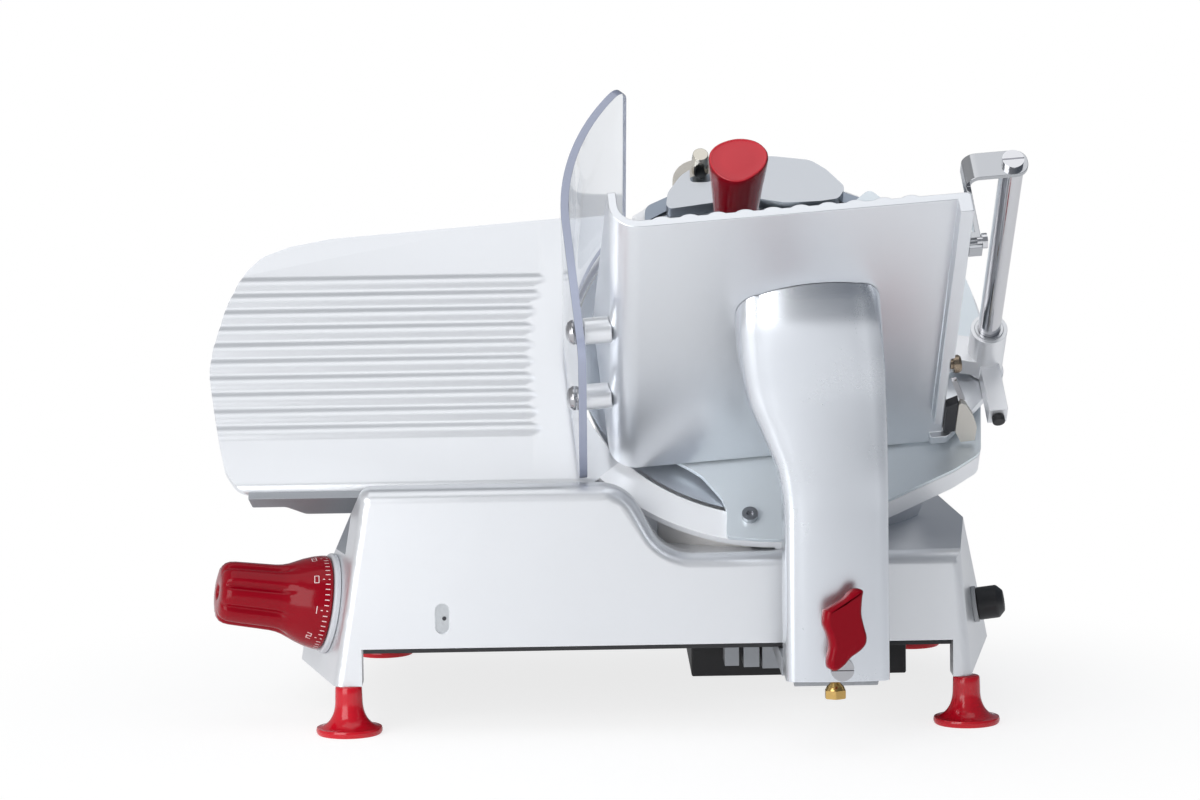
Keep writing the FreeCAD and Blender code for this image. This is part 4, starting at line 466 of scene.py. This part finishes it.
# Thickness gauge: ribbed satin plate with a flat crescent beside the blade, on a grey cast support that
# slides on a rod.
plate_satin = finish_paint("plate_satin", (0.795, 0.81, 0.835), 0.68, 0.33, tone_spread=0.02)
grey_cast = finish_paint("grey_cast", (0.36, 0.375, 0.40), 0.8, 0.5, fine_scale=450.0, tone_spread=0.12,
                         bump=0.00012)
gauge_edge = [(-284.0, 96.0), (-310.0, 90.0), (-328.0, 82.0), (-338.0, 70.0), (-344.0, 57.0),
              (-350.0, 41.0), (-357.0, 9.0), (-359.0, -10.0), (-355.0, -37.0), (-351.0, -61.0),
              (-346.0, -84.0), (-337.0, -99.5)]
pad_edge = [(-133.0, 104.0), (-146.0, 68.0), (-154.0, 34.0), (-156.0, 1.0), (-154.0, -37.0),
            (-150.0, -66.0), (-146.0, -85.0), (-138.0, -91.0), (-120.0, -93.5), (-60.0, -95.0)]
rib_first, rib_pitch, rib_count, rib_rise, rib_fade, plate_depth = 60.0, 12.9, 10, 1.25, 9.0, 7.0
pad_step, pad_rise = 0.8, 0.5
lip_start, lip_radius = -94.0, 5.5
plate_top = [(-100.0, 113.0), (-133.0, 110.0)]
plate_low_corner = (-116.0, -99.5)
plate_corner_radii = [3, 10, 60, 20, 20, 20, 30, 60, 40, 60, 60, 60, 20, 14, 2]
plate_right = -80.0
pad_cut_start, pad_cut_step, pad_cut_count = -165.0, 1.5, 34
blade_gap_radius, plate_corner_angle, guard_rim_radius = 127.0, 220.5, 147.5


def rounded(points, radii):
    """Closed outline whose corners are rounded by arcs of their own radius."""
    smooth = []
    count = len(points)
    for i in range(count):
        here = Vector(points[i])
        before, after = Vector(points[i - 1]) - here, Vector(points[(i + 1) % count]) - here
        half = before.angle(after) / 2
        radius = radii[i]
        if radius <= 0 or half > math.radians(89.5):
            smooth.append(tuple(here))
            continue
        reach = min(radius / math.tan(half), 0.48 * before.length, 0.48 * after.length)
        start, end = here + before.normalized() * reach, here + after.normalized() * reach
        for k in range(9):
            share = k / 8
            smooth.append(tuple(start * (1 - share) ** 2 + here * 2 * share * (1 - share) + end * share ** 2))
    return smooth


def pad_side(x, t):
    """Distance right of the pad's left edge, in millimetres."""
    if t <= pad_edge[-3][1]:
        (x0, t0), (x1, t1) = pad_edge[-3], pad_edge[-2]
        edge_t = t0 + (t1 - t0) * min(max((x - x0) / (x1 - x0), 0.0), 1.0)
        return (t - edge_t) if x > x0 else -1.0
    for (x0, t0), (x1, t1) in zip(pad_edge, pad_edge[1:]):
        if t1 <= t <= t0:
            return x - (x0 + (x1 - x0) * (t0 - t) / (t0 - t1))
    return x - pad_edge[0][0]


def plate_height(x, t):
    """Height of the plate's face: broad ribs that run out on the flat pad beside the blade."""
    last = rib_first - rib_pitch * (rib_count - 1)
    wave = 0.0
    if last - rib_pitch / 2 <= t <= rib_first + rib_pitch / 2:
        phase = (rib_first - t) / rib_pitch
        wave = (0.5 + 0.5 * math.cos(math.tau * phase)) ** 0.85
    side = pad_side(x, t)
    fade = min(max((rib_fade - side) / rib_fade, 0.0), 1.0)
    fade = fade * fade * (3 - 2 * fade)
    pad = min(max((side + pad_step / 2) / pad_step, 0.0), 1.0)
    height = -rib_rise + max(rib_rise * wave * fade, pad_rise * pad * pad * (3 - 2 * pad))
    lip = max(lip_start - t, 0.0)
    return height - (lip_radius - math.sqrt(max(lip_radius * lip_radius - lip * lip, 0.0)))


def plate_form():
    """Plate cut along its ribs and beside the blade, then raised to its face's heights."""
    form = bmesh.new()
    outline = rounded(plate_top + gauge_edge + [plate_low_corner], plate_corner_radii)
    turn = math.radians(plate_corner_angle)
    outline.append((guard_rim_radius * math.cos(turn), guard_rim_radius * math.sin(turn)))
    high = math.atan2(plate_top[0][1], plate_top[0][0])
    for k in range(49):
        angle = turn + (high - turn) * k / 48
        outline.append((blade_gap_radius * math.cos(angle), blade_gap_radius * math.sin(angle)))
    outline = [point for i, point in enumerate(outline)
               if (Vector(point) - Vector(outline[i - 1])).length > 0.05 and point[0] < plate_right]
    form.faces.new([form.verts.new((x, t, 0.0)) for x, t in outline])
    cuts = [("t", rib_first + rib_pitch / 2 - rib_pitch * k / 12) for k in range(12 * rib_count + 1)]
    cuts += [("t", lip_start - lip_radius * math.sin(math.radians(15.0 * k))) for k in range(6)]
    cuts += [("x", pad_cut_start + pad_cut_step * k) for k in range(pad_cut_count)]
    for way, place in cuts:
        across = Vector((0, 1, 0)) if way == "t" else Vector((1, 0, 0))
        whole = form.verts[:] + form.edges[:] + form.faces[:]
        bmesh.ops.bisect_plane(form, geom=whole, plane_co=across * place, plane_no=across, dist=1e-4)
    form.verts.index_update()
    top = form.verts[:]
    low = [form.verts.new((vert.co.x, vert.co.y, -plate_depth)) for vert in top]
    faces = form.faces[:]
    for edge in form.edges[:]:
        if len(edge.link_faces) == 1:
            a, b = edge.verts
            form.faces.new((a, b, low[b.index], low[a.index]))
    for face in faces:
        form.faces.new([low[vert.index] for vert in face.verts])
    for vert in top:
        vert.co.z = plate_height(vert.co.x, vert.co.y)
    return form


def soften(piece, width, angle):
    """Rounds the sharp edges of a drawn piece."""
    bevel = piece.modifiers.new("round", "BEVEL")
    bevel.width = width
    bevel.segments = 3
    bevel.limit_method = "ANGLE"
    bevel.angle_limit = math.radians(angle)
    bevel.harden_normals = True


plate = new_piece("ribbed_plate", plate_form(), blade_frame, [plate_satin], replaced=["gauge_plate"],
                  body="gauge", sharp=42.0)
soften(plate, 0.001, 55.0)
dress("gauge_support", grey_cast, 0.0006, 2)
dress("gauge_rod", turned_steel, 0.0004, 2)

# Thickness knob: glossy red moulding with a tapered dial skirt, a fluted grip and a domed end, fixed on
# its shaft. The skirt carries plain ticks and numbers. A grey ring stands behind it on the left wall.
red_moulding = finish_paint("red_moulding", (0.26, 0.0005, 0.008), 0.0, 0.12, fine_scale=600.0,
                            worn_colour=(0.45, 0.02, 0.035), bump=0.00001, specular=0.2)
dial_white = finish_paint("dial_white", (0.80, 0.62, 0.62), 0.0, 0.4)
ring_grey = finish_paint("ring_grey", (0.55, 0.57, 0.60), 0.0, 0.4)
dress("index_ring", ring_grey, 0.0006, 2)
knob_rise, knob_yaw = math.radians(9.2), math.radians(14.6)
knob_direction = Vector((-math.cos(knob_rise) * math.cos(knob_yaw), -math.cos(knob_rise) * math.sin(knob_yaw),
                         math.sin(knob_rise)))
knob_place = step @ Matrix.Translation((-0.204567, -0.105, 0.075)) @ knob_direction.to_track_quat(
    "Z", "X").to_matrix().to_4x4()
knob_outline = [
    (0.0, 4.4, 0.0), (28.6, 4.4, 0.0), (29.4, 5.2, 0.0), (29.6, 6.4, 0.0), (29.3, 9.0, 0.0),
    (28.2, 14.0, 0.0), (26.2, 20.0, 0.0), (24.0, 25.0, 0.0), (22.3, 29.0, 0.25), (21.2, 33.0, 0.8),
    (20.7, 37.0, 1.0), (20.4, 45.0, 1.0), (20.1, 55.0, 1.0), (19.8, 63.0, 1.0), (19.3, 66.5, 0.9),
    (18.2, 69.0, 0.6), (16.2, 70.8, 0.3), (12.5, 71.7, 0.0), (6.0, 72.0, 0.0), (4.2, 71.7, 0.0),
    (3.7, 70.9, 0.0), (3.5, 69.0, 0.0), (0.0, 69.0, 0.0)]


def fluted_rings(outline, flutes, depth, steps):
    """Rings of a turned form with flutes cut as deep as each height's share."""
    rings = []
    for radius, height, share in outline:
        ring = []
        for k in range(steps):
            angle = math.tau * k / steps
            wave = 0.5 - 0.5 * math.cos(flutes * angle)
            reach = radius - share * depth * wave ** 5
            ring.append((reach * math.cos(angle), reach * math.sin(angle), height))
        rings.append(ring)
    return rings


def skirt_radius(height):
    """Radius of the knob's skirt at a height above the wall."""
    for (r0, h0, _), (r1, h1, _) in zip(knob_outline[3:], knob_outline[4:]):
        if h0 <= height <= h1:
            return r0 + (r1 - r0) * (height - h0) / (h1 - h0)
    return knob_outline[3][0]


def wrapped_patch(form, points, angle, base, lift):
    """Flat outline of along and around lengths, laid on the skirt at an angle."""
    corners = []
    for along, around in points:
        reach = skirt_radius(base + along) + lift
        turn = angle + around / reach
        corners.append(form.verts.new((reach * math.cos(turn), reach * math.sin(turn), base + along)))
    form.faces.new(corners).material_index = 1


def digit_strokes(digit):
    """Short strokes of a plain number in a box three wide and five high."""
    bars = {"a": ((0.3, 4.6), (2.7, 4.6)), "b": ((2.6, 4.6), (2.6, 2.6)), "c": ((2.6, 2.6), (2.6, 0.4)),
            "d": ((0.3, 0.4), (2.7, 0.4)), "e": ((0.4, 2.6), (0.4, 0.4)), "f": ((0.4, 4.6), (0.4, 2.6)),
            "g": ((0.3, 2.5), (2.7, 2.5))}
    lit = ("abcdef", "bc", "abged", "abgcd", "fgbc", "afgcd", "afgedc", "abc", "abcdefg", "abcdfg")[digit]
    return [bars[name] for name in lit]


knob = bmesh.new()
ring_form(knob, fluted_rings(knob_outline, flutes=8, depth=2.6, steps=256))
tick_count, ticks_per_number, first_number_angle = 54, 6, -0.92
tick_short, tick_long, tick_half, tick_base, tick_lift = 2.8, 4.6, 0.28, 6.8, 0.06
digit_size, stroke, digit_base, digit_top, digit_lift = 1.15, 0.24, 12.6, 4.2, 0.07
for tick in range(tick_count):
    length = tick_long if tick % ticks_per_number == 0 else tick_short
    wrapped_patch(knob, [(0.0, -tick_half), (length, -tick_half), (length, tick_half), (0.0, tick_half)],
                  first_number_angle - math.tau * tick / tick_count, tick_base, tick_lift)
for digit in range(9):
    middle = first_number_angle - math.tau * digit * ticks_per_number / tick_count
    for (u0, v0), (u1, v1) in digit_strokes(digit):
        u0, v0, u1, v1 = u0 * digit_size, (v0 - 2.5) * digit_size, u1 * digit_size, (v1 - 2.5) * digit_size
        if abs(u1 - u0) > abs(v1 - v0):
            bar = [(u0, v0 - stroke), (u1, v0 - stroke), (u1, v0 + stroke), (u0, v0 + stroke)]
        else:
            bar = [(u0 - stroke, v0), (u0 + stroke, v0), (u0 + stroke, v1), (u0 - stroke, v1)]
        wrapped_patch(knob, [(digit_top - u, v) for u, v in bar], middle, digit_base, digit_lift)
new_piece("dial_knob", knob, knob_place, [red_moulding, dial_white], replaced=["thickness_knob"], body="knob",
          sharp=50.0)

# Carriage arm: tall hollow casting of satin aluminium at the front, widening to the left under the table
# that it carries. It stands on a pivot pin, with a bright slotted screw and a brass bolt at its foot.
arm_satin = finish_paint("arm_satin", (0.67, 0.695, 0.735), 0.97, 0.27, tone_spread=0.02,
                         rough_spread=0.03, bump=0.000006)
arm_wall, arm_window_top, arm_cavity_top = 5.0, 95.0, 150.0
arm_foot, arm_foot_front, arm_foot_rear, arm_mid = 43.0, -238.0, -191.0, 69.0
arm_window, arm_flare_start, arm_flare_step, arm_flare_count = (80.0, 132.0), 143.0, 3.0, 57
table_underside = -0.0863
# Each key: height, left, right, front, rear, bulge of the front face, front corner and rear corner
arm_keys = [
    (43.0, 75.0, 137.0, -238.0, -191.0, 1.8, 6.0, 6.0),
    (143.0, 75.0, 137.0, -238.0, -191.0, 2.2, 6.5, 8.0),
    (166.0, 72.0, 137.0, -238.2, -193.0, 1.8, 7.5, 10.0),
    (190.0, 63.0, 137.0, -238.8, -198.0, 2.4, 9.0, 12.0),
    (212.0, 54.0, 136.6, -240.0, -203.0, 3.0, 10.5, 13.0),
    (235.0, 49.3, 135.6, -243.0, -206.0, 3.6, 12.0, 13.0),
    (247.0, 47.9, 134.8, -245.4, -207.0, 4.4, 13.0, 13.0),
    (260.0, 47.2, 133.8, -247.0, -207.5, 4.5, 13.5, 13.0),
    (273.0, 46.9, 133.0, -246.6, -208.5, 4.4, 14.0, 13.0),
    (290.0, 46.6, 131.8, -243.8, -210.0, 4.0, 14.0, 13.0),
    (310.0, 46.5, 131.0, -240.0, -210.0, 3.6, 14.0, 13.0)]


def eased(keys, z):
    """Values between keys, with slopes that keep the run smooth and free of overshoot."""
    for i in range(len(keys) - 1):
        if z <= keys[i + 1][0]:
            break
    low, high = keys[i], keys[i + 1]
    gap = high[0] - low[0]
    share = (z - low[0]) / gap
    values = []
    for column in range(1, len(low)):
        rise = (high[column] - low[column]) / gap
        slopes = []
        for k, away in ((i, i - 1), (i + 1, i + 2)):
            if 0 <= away < len(keys):
                other = (keys[away][column] - keys[k][column]) / (keys[away][0] - keys[k][0])
                slopes.append(0.0 if other * rise <= 0 else 2.0 * other * rise / (other + rise))
            else:
                slopes.append(rise)
        a, b = share * share * (3 - 2 * share), share * (1 - share) ** 2 * gap
        c = share * share * (share - 1) * gap
        values.append(low[column] + (high[column] - low[column]) * a + slopes[0] * b + slopes[1] * c)
    return values


def arm_ring(z):
    """Outer section, started and ended at the two sides of the rear window."""
    left, right, front, rear, bulge, front_corner, rear_corner = eased(arm_keys, z)
    ring = [(arm_window[0], rear)]

    def corner(x, y, radius, start, steps):
        for k in range(steps + 1):
            turn = math.radians(start + 90.0 * k / steps)
            ring.append((x + radius * math.cos(turn), y + radius * math.sin(turn)))

    edge = front + bulge
    corner(left + rear_corner, rear - rear_corner, rear_corner, 90.0, 6)
    corner(left + front_corner, edge + front_corner, front_corner, 180.0, 10)
    start, end = left + front_corner, right - front_corner
    for k in range(1, 14):
        share = k / 14
        ring.append((start + (end - start) * share, edge - bulge * math.sin(math.pi * share) ** 0.8))
    corner(right - front_corner, edge + front_corner, front_corner, 270.0, 10)
    corner(right - rear_corner, rear - rear_corner, rear_corner, 0.0, 6)
    ring.append((arm_window[1], rear))
    return [(x, y, z) for x, y in ring]


def arm_hollow(z):
    """Inner section of the same sense: window left, front left, front right, window right."""
    front, rear = arm_foot_front + arm_wall, arm_foot_rear - arm_wall
    return [(arm_window[0], rear, z), (arm_window[0], front, z), (arm_window[1], front, z),
            (arm_window[1], rear, z)]


def arm_form():
    """Outer and inner skins, joined round the foot and the rear window."""
    form = bmesh.new()
    heights = [arm_foot, arm_mid, arm_window_top, 122.0]
    heights += [arm_flare_start + arm_flare_step * k for k in range(arm_flare_count)]
    outer = [[form.verts.new(point) for point in arm_ring(z)] for z in heights]
    inner = [[form.verts.new(point) for point in arm_hollow(z)]
             for z in (arm_foot, arm_mid, arm_window_top, arm_cavity_top)]
    for low, high in zip(outer, outer[1:]):
        for k in range(len(low) - 1):
            form.faces.new((low[k], low[k + 1], high[k + 1], high[k]))
        if low[0].co.z >= arm_window_top - 0.1:
            form.faces.new((low[-1], low[0], high[0], high[-1]))
    for low, high in zip(inner, inner[1:]):
        for k in range(3):
            form.faces.new((low[k + 1], low[k], high[k], high[k + 1]))
        if low[0].co.z >= arm_window_top - 0.1:
            form.faces.new((low[0], low[3], high[3], high[0]))
    form.faces.new(inner[-1])
    for i in range(2):
        form.faces.new((outer[i][0], outer[i + 1][0], inner[i + 1][0], inner[i][0]))
        form.faces.new((outer[i + 1][-1], outer[i][-1], inner[i][3], inner[i + 1][3]))
    form.faces.new((outer[2][0], outer[2][-1], inner[2][3], inner[2][0]))
    form.faces.new(outer[0] + list(reversed(inner[0])))
    return form


# The carriage frame is the blade frame turned by 5 degrees in the blade's plane
carriage_frame = blade_frame @ Matrix.Rotation(math.radians(5.0), 4, "Z")


def cut_by_table(form):
    """Cuts the arm under the table's underside and closes the top."""
    form.verts.ensure_lookup_table()
    bmesh.ops.recalc_face_normals(form, faces=form.faces)
    turn = carriage_frame.to_3x3()
    origin = (step.inverted() @ carriage_frame @ Vector((0.0, table_underside, 0.0))) * 1000.0
    whole = form.verts[:] + form.edges[:] + form.faces[:]
    cut = bmesh.ops.bisect_plane(form, geom=whole, plane_co=origin, plane_no=turn @ Vector((0.0, 1.0, 0.0)),
                                 clear_outer=True, dist=1e-5)
    rim = [item for item in cut["geom_cut"] if isinstance(item, bmesh.types.BMEdge)]
    bmesh.ops.edgeloop_fill(form, edges=rim)
    return form


arm = new_piece("arm_casting", cut_by_table(arm_form()), step, [arm_satin], replaced=["carriage_arm"],
                body="arm", sharp=30.0)
soften(arm, 0.0012, 40.0)
chrome = finish_paint("chrome", (0.66, 0.66, 0.68), 1.0, 0.10, tone_spread=0.02)
brass = finish_paint("brass_bolt", (0.52, 0.34, 0.12), 1.0, 0.26)
screw_chrome = finish_paint("screw_chrome", (0.42, 0.42, 0.44), 1.0, 0.16, tone_spread=0.02)
dress("arm_screw", screw_chrome, 0.0012, 4)
dress("arm_bolt", brass, 0.0004, 2)

# Lock knob: glossy red lobed moulding with a rounded rim, on a hub and a steel stud that screws into the
# arm.
lock_red = finish_paint("lock_red", (0.26, 0.0003, 0.008), 0.0, 0.10, tone_spread=0.03,
                        worn_colour=(0.36, 0.01, 0.02), bump=0.000004, specular=0.12)
lock_place = step @ Matrix.Translation((0.107, -0.251, 0.0765)) @ Matrix.Rotation(
    math.radians(20.0), 4, "Z") @ Matrix.Rotation(math.radians(90.0), 4, "X")
lock_outline = [(-13.0, 12.6), (-10.6, 14.6), (-1.2, 19.0), (4.0, 23.6), (7.5, 25.0),
                (11.2, 23.6), (10.6, 18.8), (10.1, 10.0), (11.7, 2.4), (13.3, -3.5),
                (12.7, -8.3), (9.1, -12.2), (2.9, -16.0), (-1.2, -20.0), (-6.4, -23.0),
                (-10.6, -21.3), (-11.1, -16.0), (-9.5, -8.3), (-11.1, -1.5), (-13.6, 5.3)]
# Each pair: how far the rim is drawn in, and the height above the knob's back
lock_rim = [(1.2, 0.0), (0.4, 0.4), (0.0, 1.2), (0.0, 5.4), (0.15, 6.5), (0.55, 7.5), (1.2, 8.3), (1.9, 8.8),
            (2.45, 9.0), (2.55, 9.0)]
lock_hub, lock_stud = [(8.0, -5.0), (8.0, 0.3)], [(4.0, -18.5), (4.0, -4.9)]


def closed_curve(points, pieces):
    """Smooth closed curve through points."""
    curve = []
    count = len(points)
    for i in range(count):
        a, b, c, d = (Vector(points[(i + k) % count]) for k in (-1, 0, 1, 2))
        for k in range(pieces):
            u = k / pieces
            curve.append(0.5 * (2 * b + (c - a) * u + (2 * a - 5 * b + 4 * c - d) * u * u
                                + (3 * b - a - 3 * c + d) * u ** 3))
    return curve


def inset_curve(curve, depth):
    """Clockwise closed curve moved inward by a depth."""
    moved = []
    for i, point in enumerate(curve):
        along = curve[(i + 1) % len(curve)] - curve[i - 1]
        moved.append(point + Vector((along.y, -along.x)).normalized() * depth)
    return moved


lock = bmesh.new()
ring_form(lock, [[(point.x, point.y, height) for point in inset_curve(closed_curve(lock_outline, 6), depth)]
                 for depth, height in lock_rim])
turned(lock, lock_hub)
turned(lock, lock_stud, steps=32)
new_piece("lobed_knob", lock, lock_place, [lock_red], replaced=["lock_knob"], body="lock",
          sharp=40.0)

# Slide block, guide bar, roller and rail under the base: a rough grey casting carries the arm and slides
# on a bright ground bar. Its black nylon roller runs on a steel rail.
dress("slide_block", grey_cast, 0.001, 2)
dress("guide_bar", turned_steel, 0.0005, 2)
dress("carriage_roller", black_nylon, 0.0004, 2)
dress("roller_rail", turned_steel, 0.0004, 1)

# Meat table: ribbed plate of satin aluminium with a fence at the left and a flange at the right. It is
# fixed on top of the arm.
table_satin = finish_paint("table_satin", (0.77, 0.79, 0.82), 0.92, 0.30, tone_spread=0.015,
                           rough_spread=0.02, bump=0.000002, wear=0.08)
dress("meat_table", table_satin, 0.0012, 3, angle=32.0)

# Catch beside the table's right edge: bronze screw, small bright lever, and a pale steel plate beside a
# dark block, all fixed to the table.
catch_pale = finish_paint("catch_pale", (0.74, 0.71, 0.65), 0.5, 0.4, tone_spread=0.08)
catch_bronze = finish_paint("catch_bronze", (0.30, 0.24, 0.18), 1.0, 0.28)
catch_plate = [(106.0, 54.0), (109.0, 52.0), (114.5, 39.0), (118.0, 26.0), (118.0, 11.0), (109.0, 10.5),
               (104.8, 22.0), (104.8, 52.0)]
catch_block = [(97.3, 22.0), (97.3, 50.0), (104.6, 54.0), (104.6, 22.0)]
catch_lever = [(98.8, 76.5), (101.8, 77.0), (108.6, 55.0), (105.4, 54.0)]
catch_slabs = [(catch_plate, (-86.2, -89.4)), (catch_block, (-83.0, -88.6)), (catch_lever, (-85.0, -87.6))]
catch_screw_place = (-84.0, 90.0)
catch_screw = [(3.0, 97.2), (3.0, 98.8), (5.2, 98.9), (5.6, 99.8), (5.6, 102.4), (4.6, 103.8)]
catch = bmesh.new()
for slot, (outline, ends) in enumerate(catch_slabs):
    ring_form(catch, [[(x, t, n) for x, n in outline] for t in ends], slot=slot)
ring_form(catch, [[(x, t, n) for t, n in circle(radius, 32, catch_screw_place)]
                  for radius, x in catch_screw], slot=3)
new_piece("end_catch", catch, carriage_frame, [catch_pale, pin_dark, screw_chrome, catch_bronze], body="arm")

# Splash guard: clear sheet bent to a curve, its cut edges tinted blue-violet. It stands on two aluminium
# studs at the table's fence, held by bright dome screws.
clear_sheet = bpy.data.materials.new("clear_sheet")
clear_sheet.use_nodes = True
sheet_tree = clear_sheet.node_tree
sheet_place = add_node(sheet_tree, "TexCoord")
sheet_haze = add_node(sheet_tree, "TexNoise", {"Vector": sheet_place.outputs["Object"], "Scale": 60.0})
haze_spread = link_math(sheet_tree, "MULTIPLY", sheet_haze.outputs["Fac"], 0.03)
feed(sheet_tree, sheet_tree.nodes["Principled BSDF"], {
    "Base Color": (0.88, 0.90, 0.93, 1.0), "Transmission Weight": 1.0, "IOR": 1.12,
    "Roughness": link_math(sheet_tree, "ADD", haze_spread, 0.005)})
sheet_edge = finish_paint("sheet_edge", (0.33, 0.36, 0.47), 0.0, 0.15, tone_spread=0.08, coat=0.6)
guard_face, guard_sheet, guard_radius = -132.0, 5.0, 138.0
guard_low, guard_straight, guard_turn = -94.0, 3.0, 49.0
guard_far, guard_near, guard_corner, guard_strip = 7.0, 152.0, 12.0, 6.0


def guard_point(along, depth, n):
    """Point of the sheet: along its curved section, into its thickness, and out along n."""
    straight = guard_straight - guard_low
    if along <= straight:
        return (guard_face + depth, guard_low + along, n)
    turn = math.pi - (along - straight) / guard_radius
    reach = guard_radius - depth
    return (guard_face + guard_radius + reach * math.cos(turn), guard_straight + reach * math.sin(turn), n)


def guard_outline():
    """Closed outline of the flat sheet as along and n pairs, with rounded corners."""
    total = guard_straight - guard_low + math.radians(guard_turn) * guard_radius
    start, end = guard_corner, total - guard_corner
    far, near = guard_far + guard_corner, guard_near - guard_corner
    centres = ((start, far, 180.0), (end, far, 270.0), (end, near, 0.0), (start, near, 90.0))
    points = []
    for a, n, first in centres:
        for k in range(9):
            turn = math.radians(first + 90.0 * k / 8)
            points.append((a + guard_corner * math.cos(turn), n + guard_corner * math.sin(turn)))
    dense = []
    for (a0, n0), (a1, n1) in zip(points, points[1:] + points[:1]):
        pieces = max(1, int(abs(a1 - a0) / guard_strip))
        dense.extend([(a0 + (a1 - a0) * k / pieces, n0 + (n1 - n0) * k / pieces) for k in range(pieces)])
    return dense


def guard_form():
    """Two curved faces of the sheet, joined round its cut edge."""
    form = bmesh.new()
    outline = guard_outline()
    sides = []
    for depth in (0.0, guard_sheet):
        flat = bmesh.new()
        flat.faces.new([flat.verts.new((a, n, 0.0)) for a, n in outline])
        cuts = sorted({round(a, 3) for a, n in outline})
        for cut in cuts[1:-1]:
            whole = flat.verts[:] + flat.edges[:] + flat.faces[:]
            bmesh.ops.bisect_plane(flat, geom=whole, plane_co=(cut, 0, 0), plane_no=(1, 0, 0), dist=1e-4)
        flat.verts.index_update()
        fresh = [form.verts.new(guard_point(vert.co.x, depth, vert.co.y)) for vert in flat.verts]
        for face in flat.faces:
            form.faces.new([fresh[vert.index] for vert in face.verts])
        sides.append((flat, fresh))
    (outer_flat, outer), (_, inner) = sides
    for edge in outer_flat.edges:
        if len(edge.link_faces) == 1:
            a, b = edge.verts[0].index, edge.verts[1].index
            form.faces.new((outer[a], outer[b], inner[b], inner[a])).material_index = 1
    for flat, _ in sides:
        flat.free()
    return form


guard = new_piece("clear_guard", guard_form(), carriage_frame, [clear_sheet, sheet_edge],
                  replaced=["splash_guard"], body="arm", sharp=40.0)
soften(guard, 0.0007, 50.0)
dress("guard_studs", satin_aluminium, 0.0008, 2)
dress("guard_screws", screw_chrome, 0.0003, 2)

# Pusher: polished rod held by a bent bright strip at its top, and a satin hub that slides and turns on
# it. The hub's arm carries a toothed steel plate with the red grip, and a black stop pin.
dress("pusher_rod", chrome, 0.0006, 2)
strip_chrome = finish_paint("strip_chrome", (0.48, 0.49, 0.51), 1.0, 0.14, tone_spread=0.02)
dress("rod_top_bracket", strip_chrome, 0.0012, 3)
dress("rod_screws", chrome, 0.0005, 2)
dress("pusher_bush", turned_steel, 0.0002, 1)
hub_satin = finish_paint("hub_satin", (0.88, 0.89, 0.91), 0.55, 0.34, tone_spread=0.03)
dress("pusher_hub", hub_satin, 0.0022, 3)
dress("stop_pin", black_nylon, 0.0008, 2)
dress("pusher_plate", turned_steel, 0.0004, 1)
grip_outline = [(-16.3, 7.9), (-9.8, 14.6), (2.0, 17.4), (13.1, 14.0), (18.8, 5.5),
                (16.5, -4.7), (8.5, -12.6), (-1.3, -16.2), (-10.5, -12.6), (-16.8, -3.2)]
grip_curve = closed_curve(grip_outline, 6)
grip_x, grip_start, grip_face_height = -26.0, 84.0, 117.0
grip_keys = [(0.0, 0.60), (2.0, 0.64), (20.0, 0.66), (45.0, 0.70), (70.0, 0.77), (92.0, 0.87), (106.0, 0.955),
             (112.0, 0.985), (115.0, 0.995), (116.8, 0.985), (117.8, 0.96), (118.2, 0.925), (118.0, 0.895),
             (117.8, 0.86), (118.3, 0.5), (118.5, 0.15)]
grip = bmesh.new()
ring_form(grip, [[(grip_x + point.x * size, point.y * size, grip_start + height) for point in grip_curve]
                 for height, size in grip_keys])
for face in grip.faces:
    if min(vert.co.z for vert in face.verts) > grip_start + grip_face_height:
        face.material_index = 1
bright_red = finish_paint("bright_red", (0.60, 0.02, 0.035), 0.0, 0.15, fine_scale=600.0, tone_spread=0.04,
                          bump=0.00001)
new_piece("pusher_grip", grip, carriage_frame, [red_moulding, bright_red], replaced=["pusher_handle"],
          body="pusher", sharp=60.0)

# Switch: black nylon plate screwed on the left wall, with a green start button and a red stop button that
# press in.
start_green = finish_paint("start_green", (0.02, 0.30, 0.08), 0.0, 0.35)
dress("switch_plate", black_nylon, 0.0008, 2)
dress("start_button", start_green, 0.0008, 3)
dress("stop_button", red_moulding, 0.0008, 3)
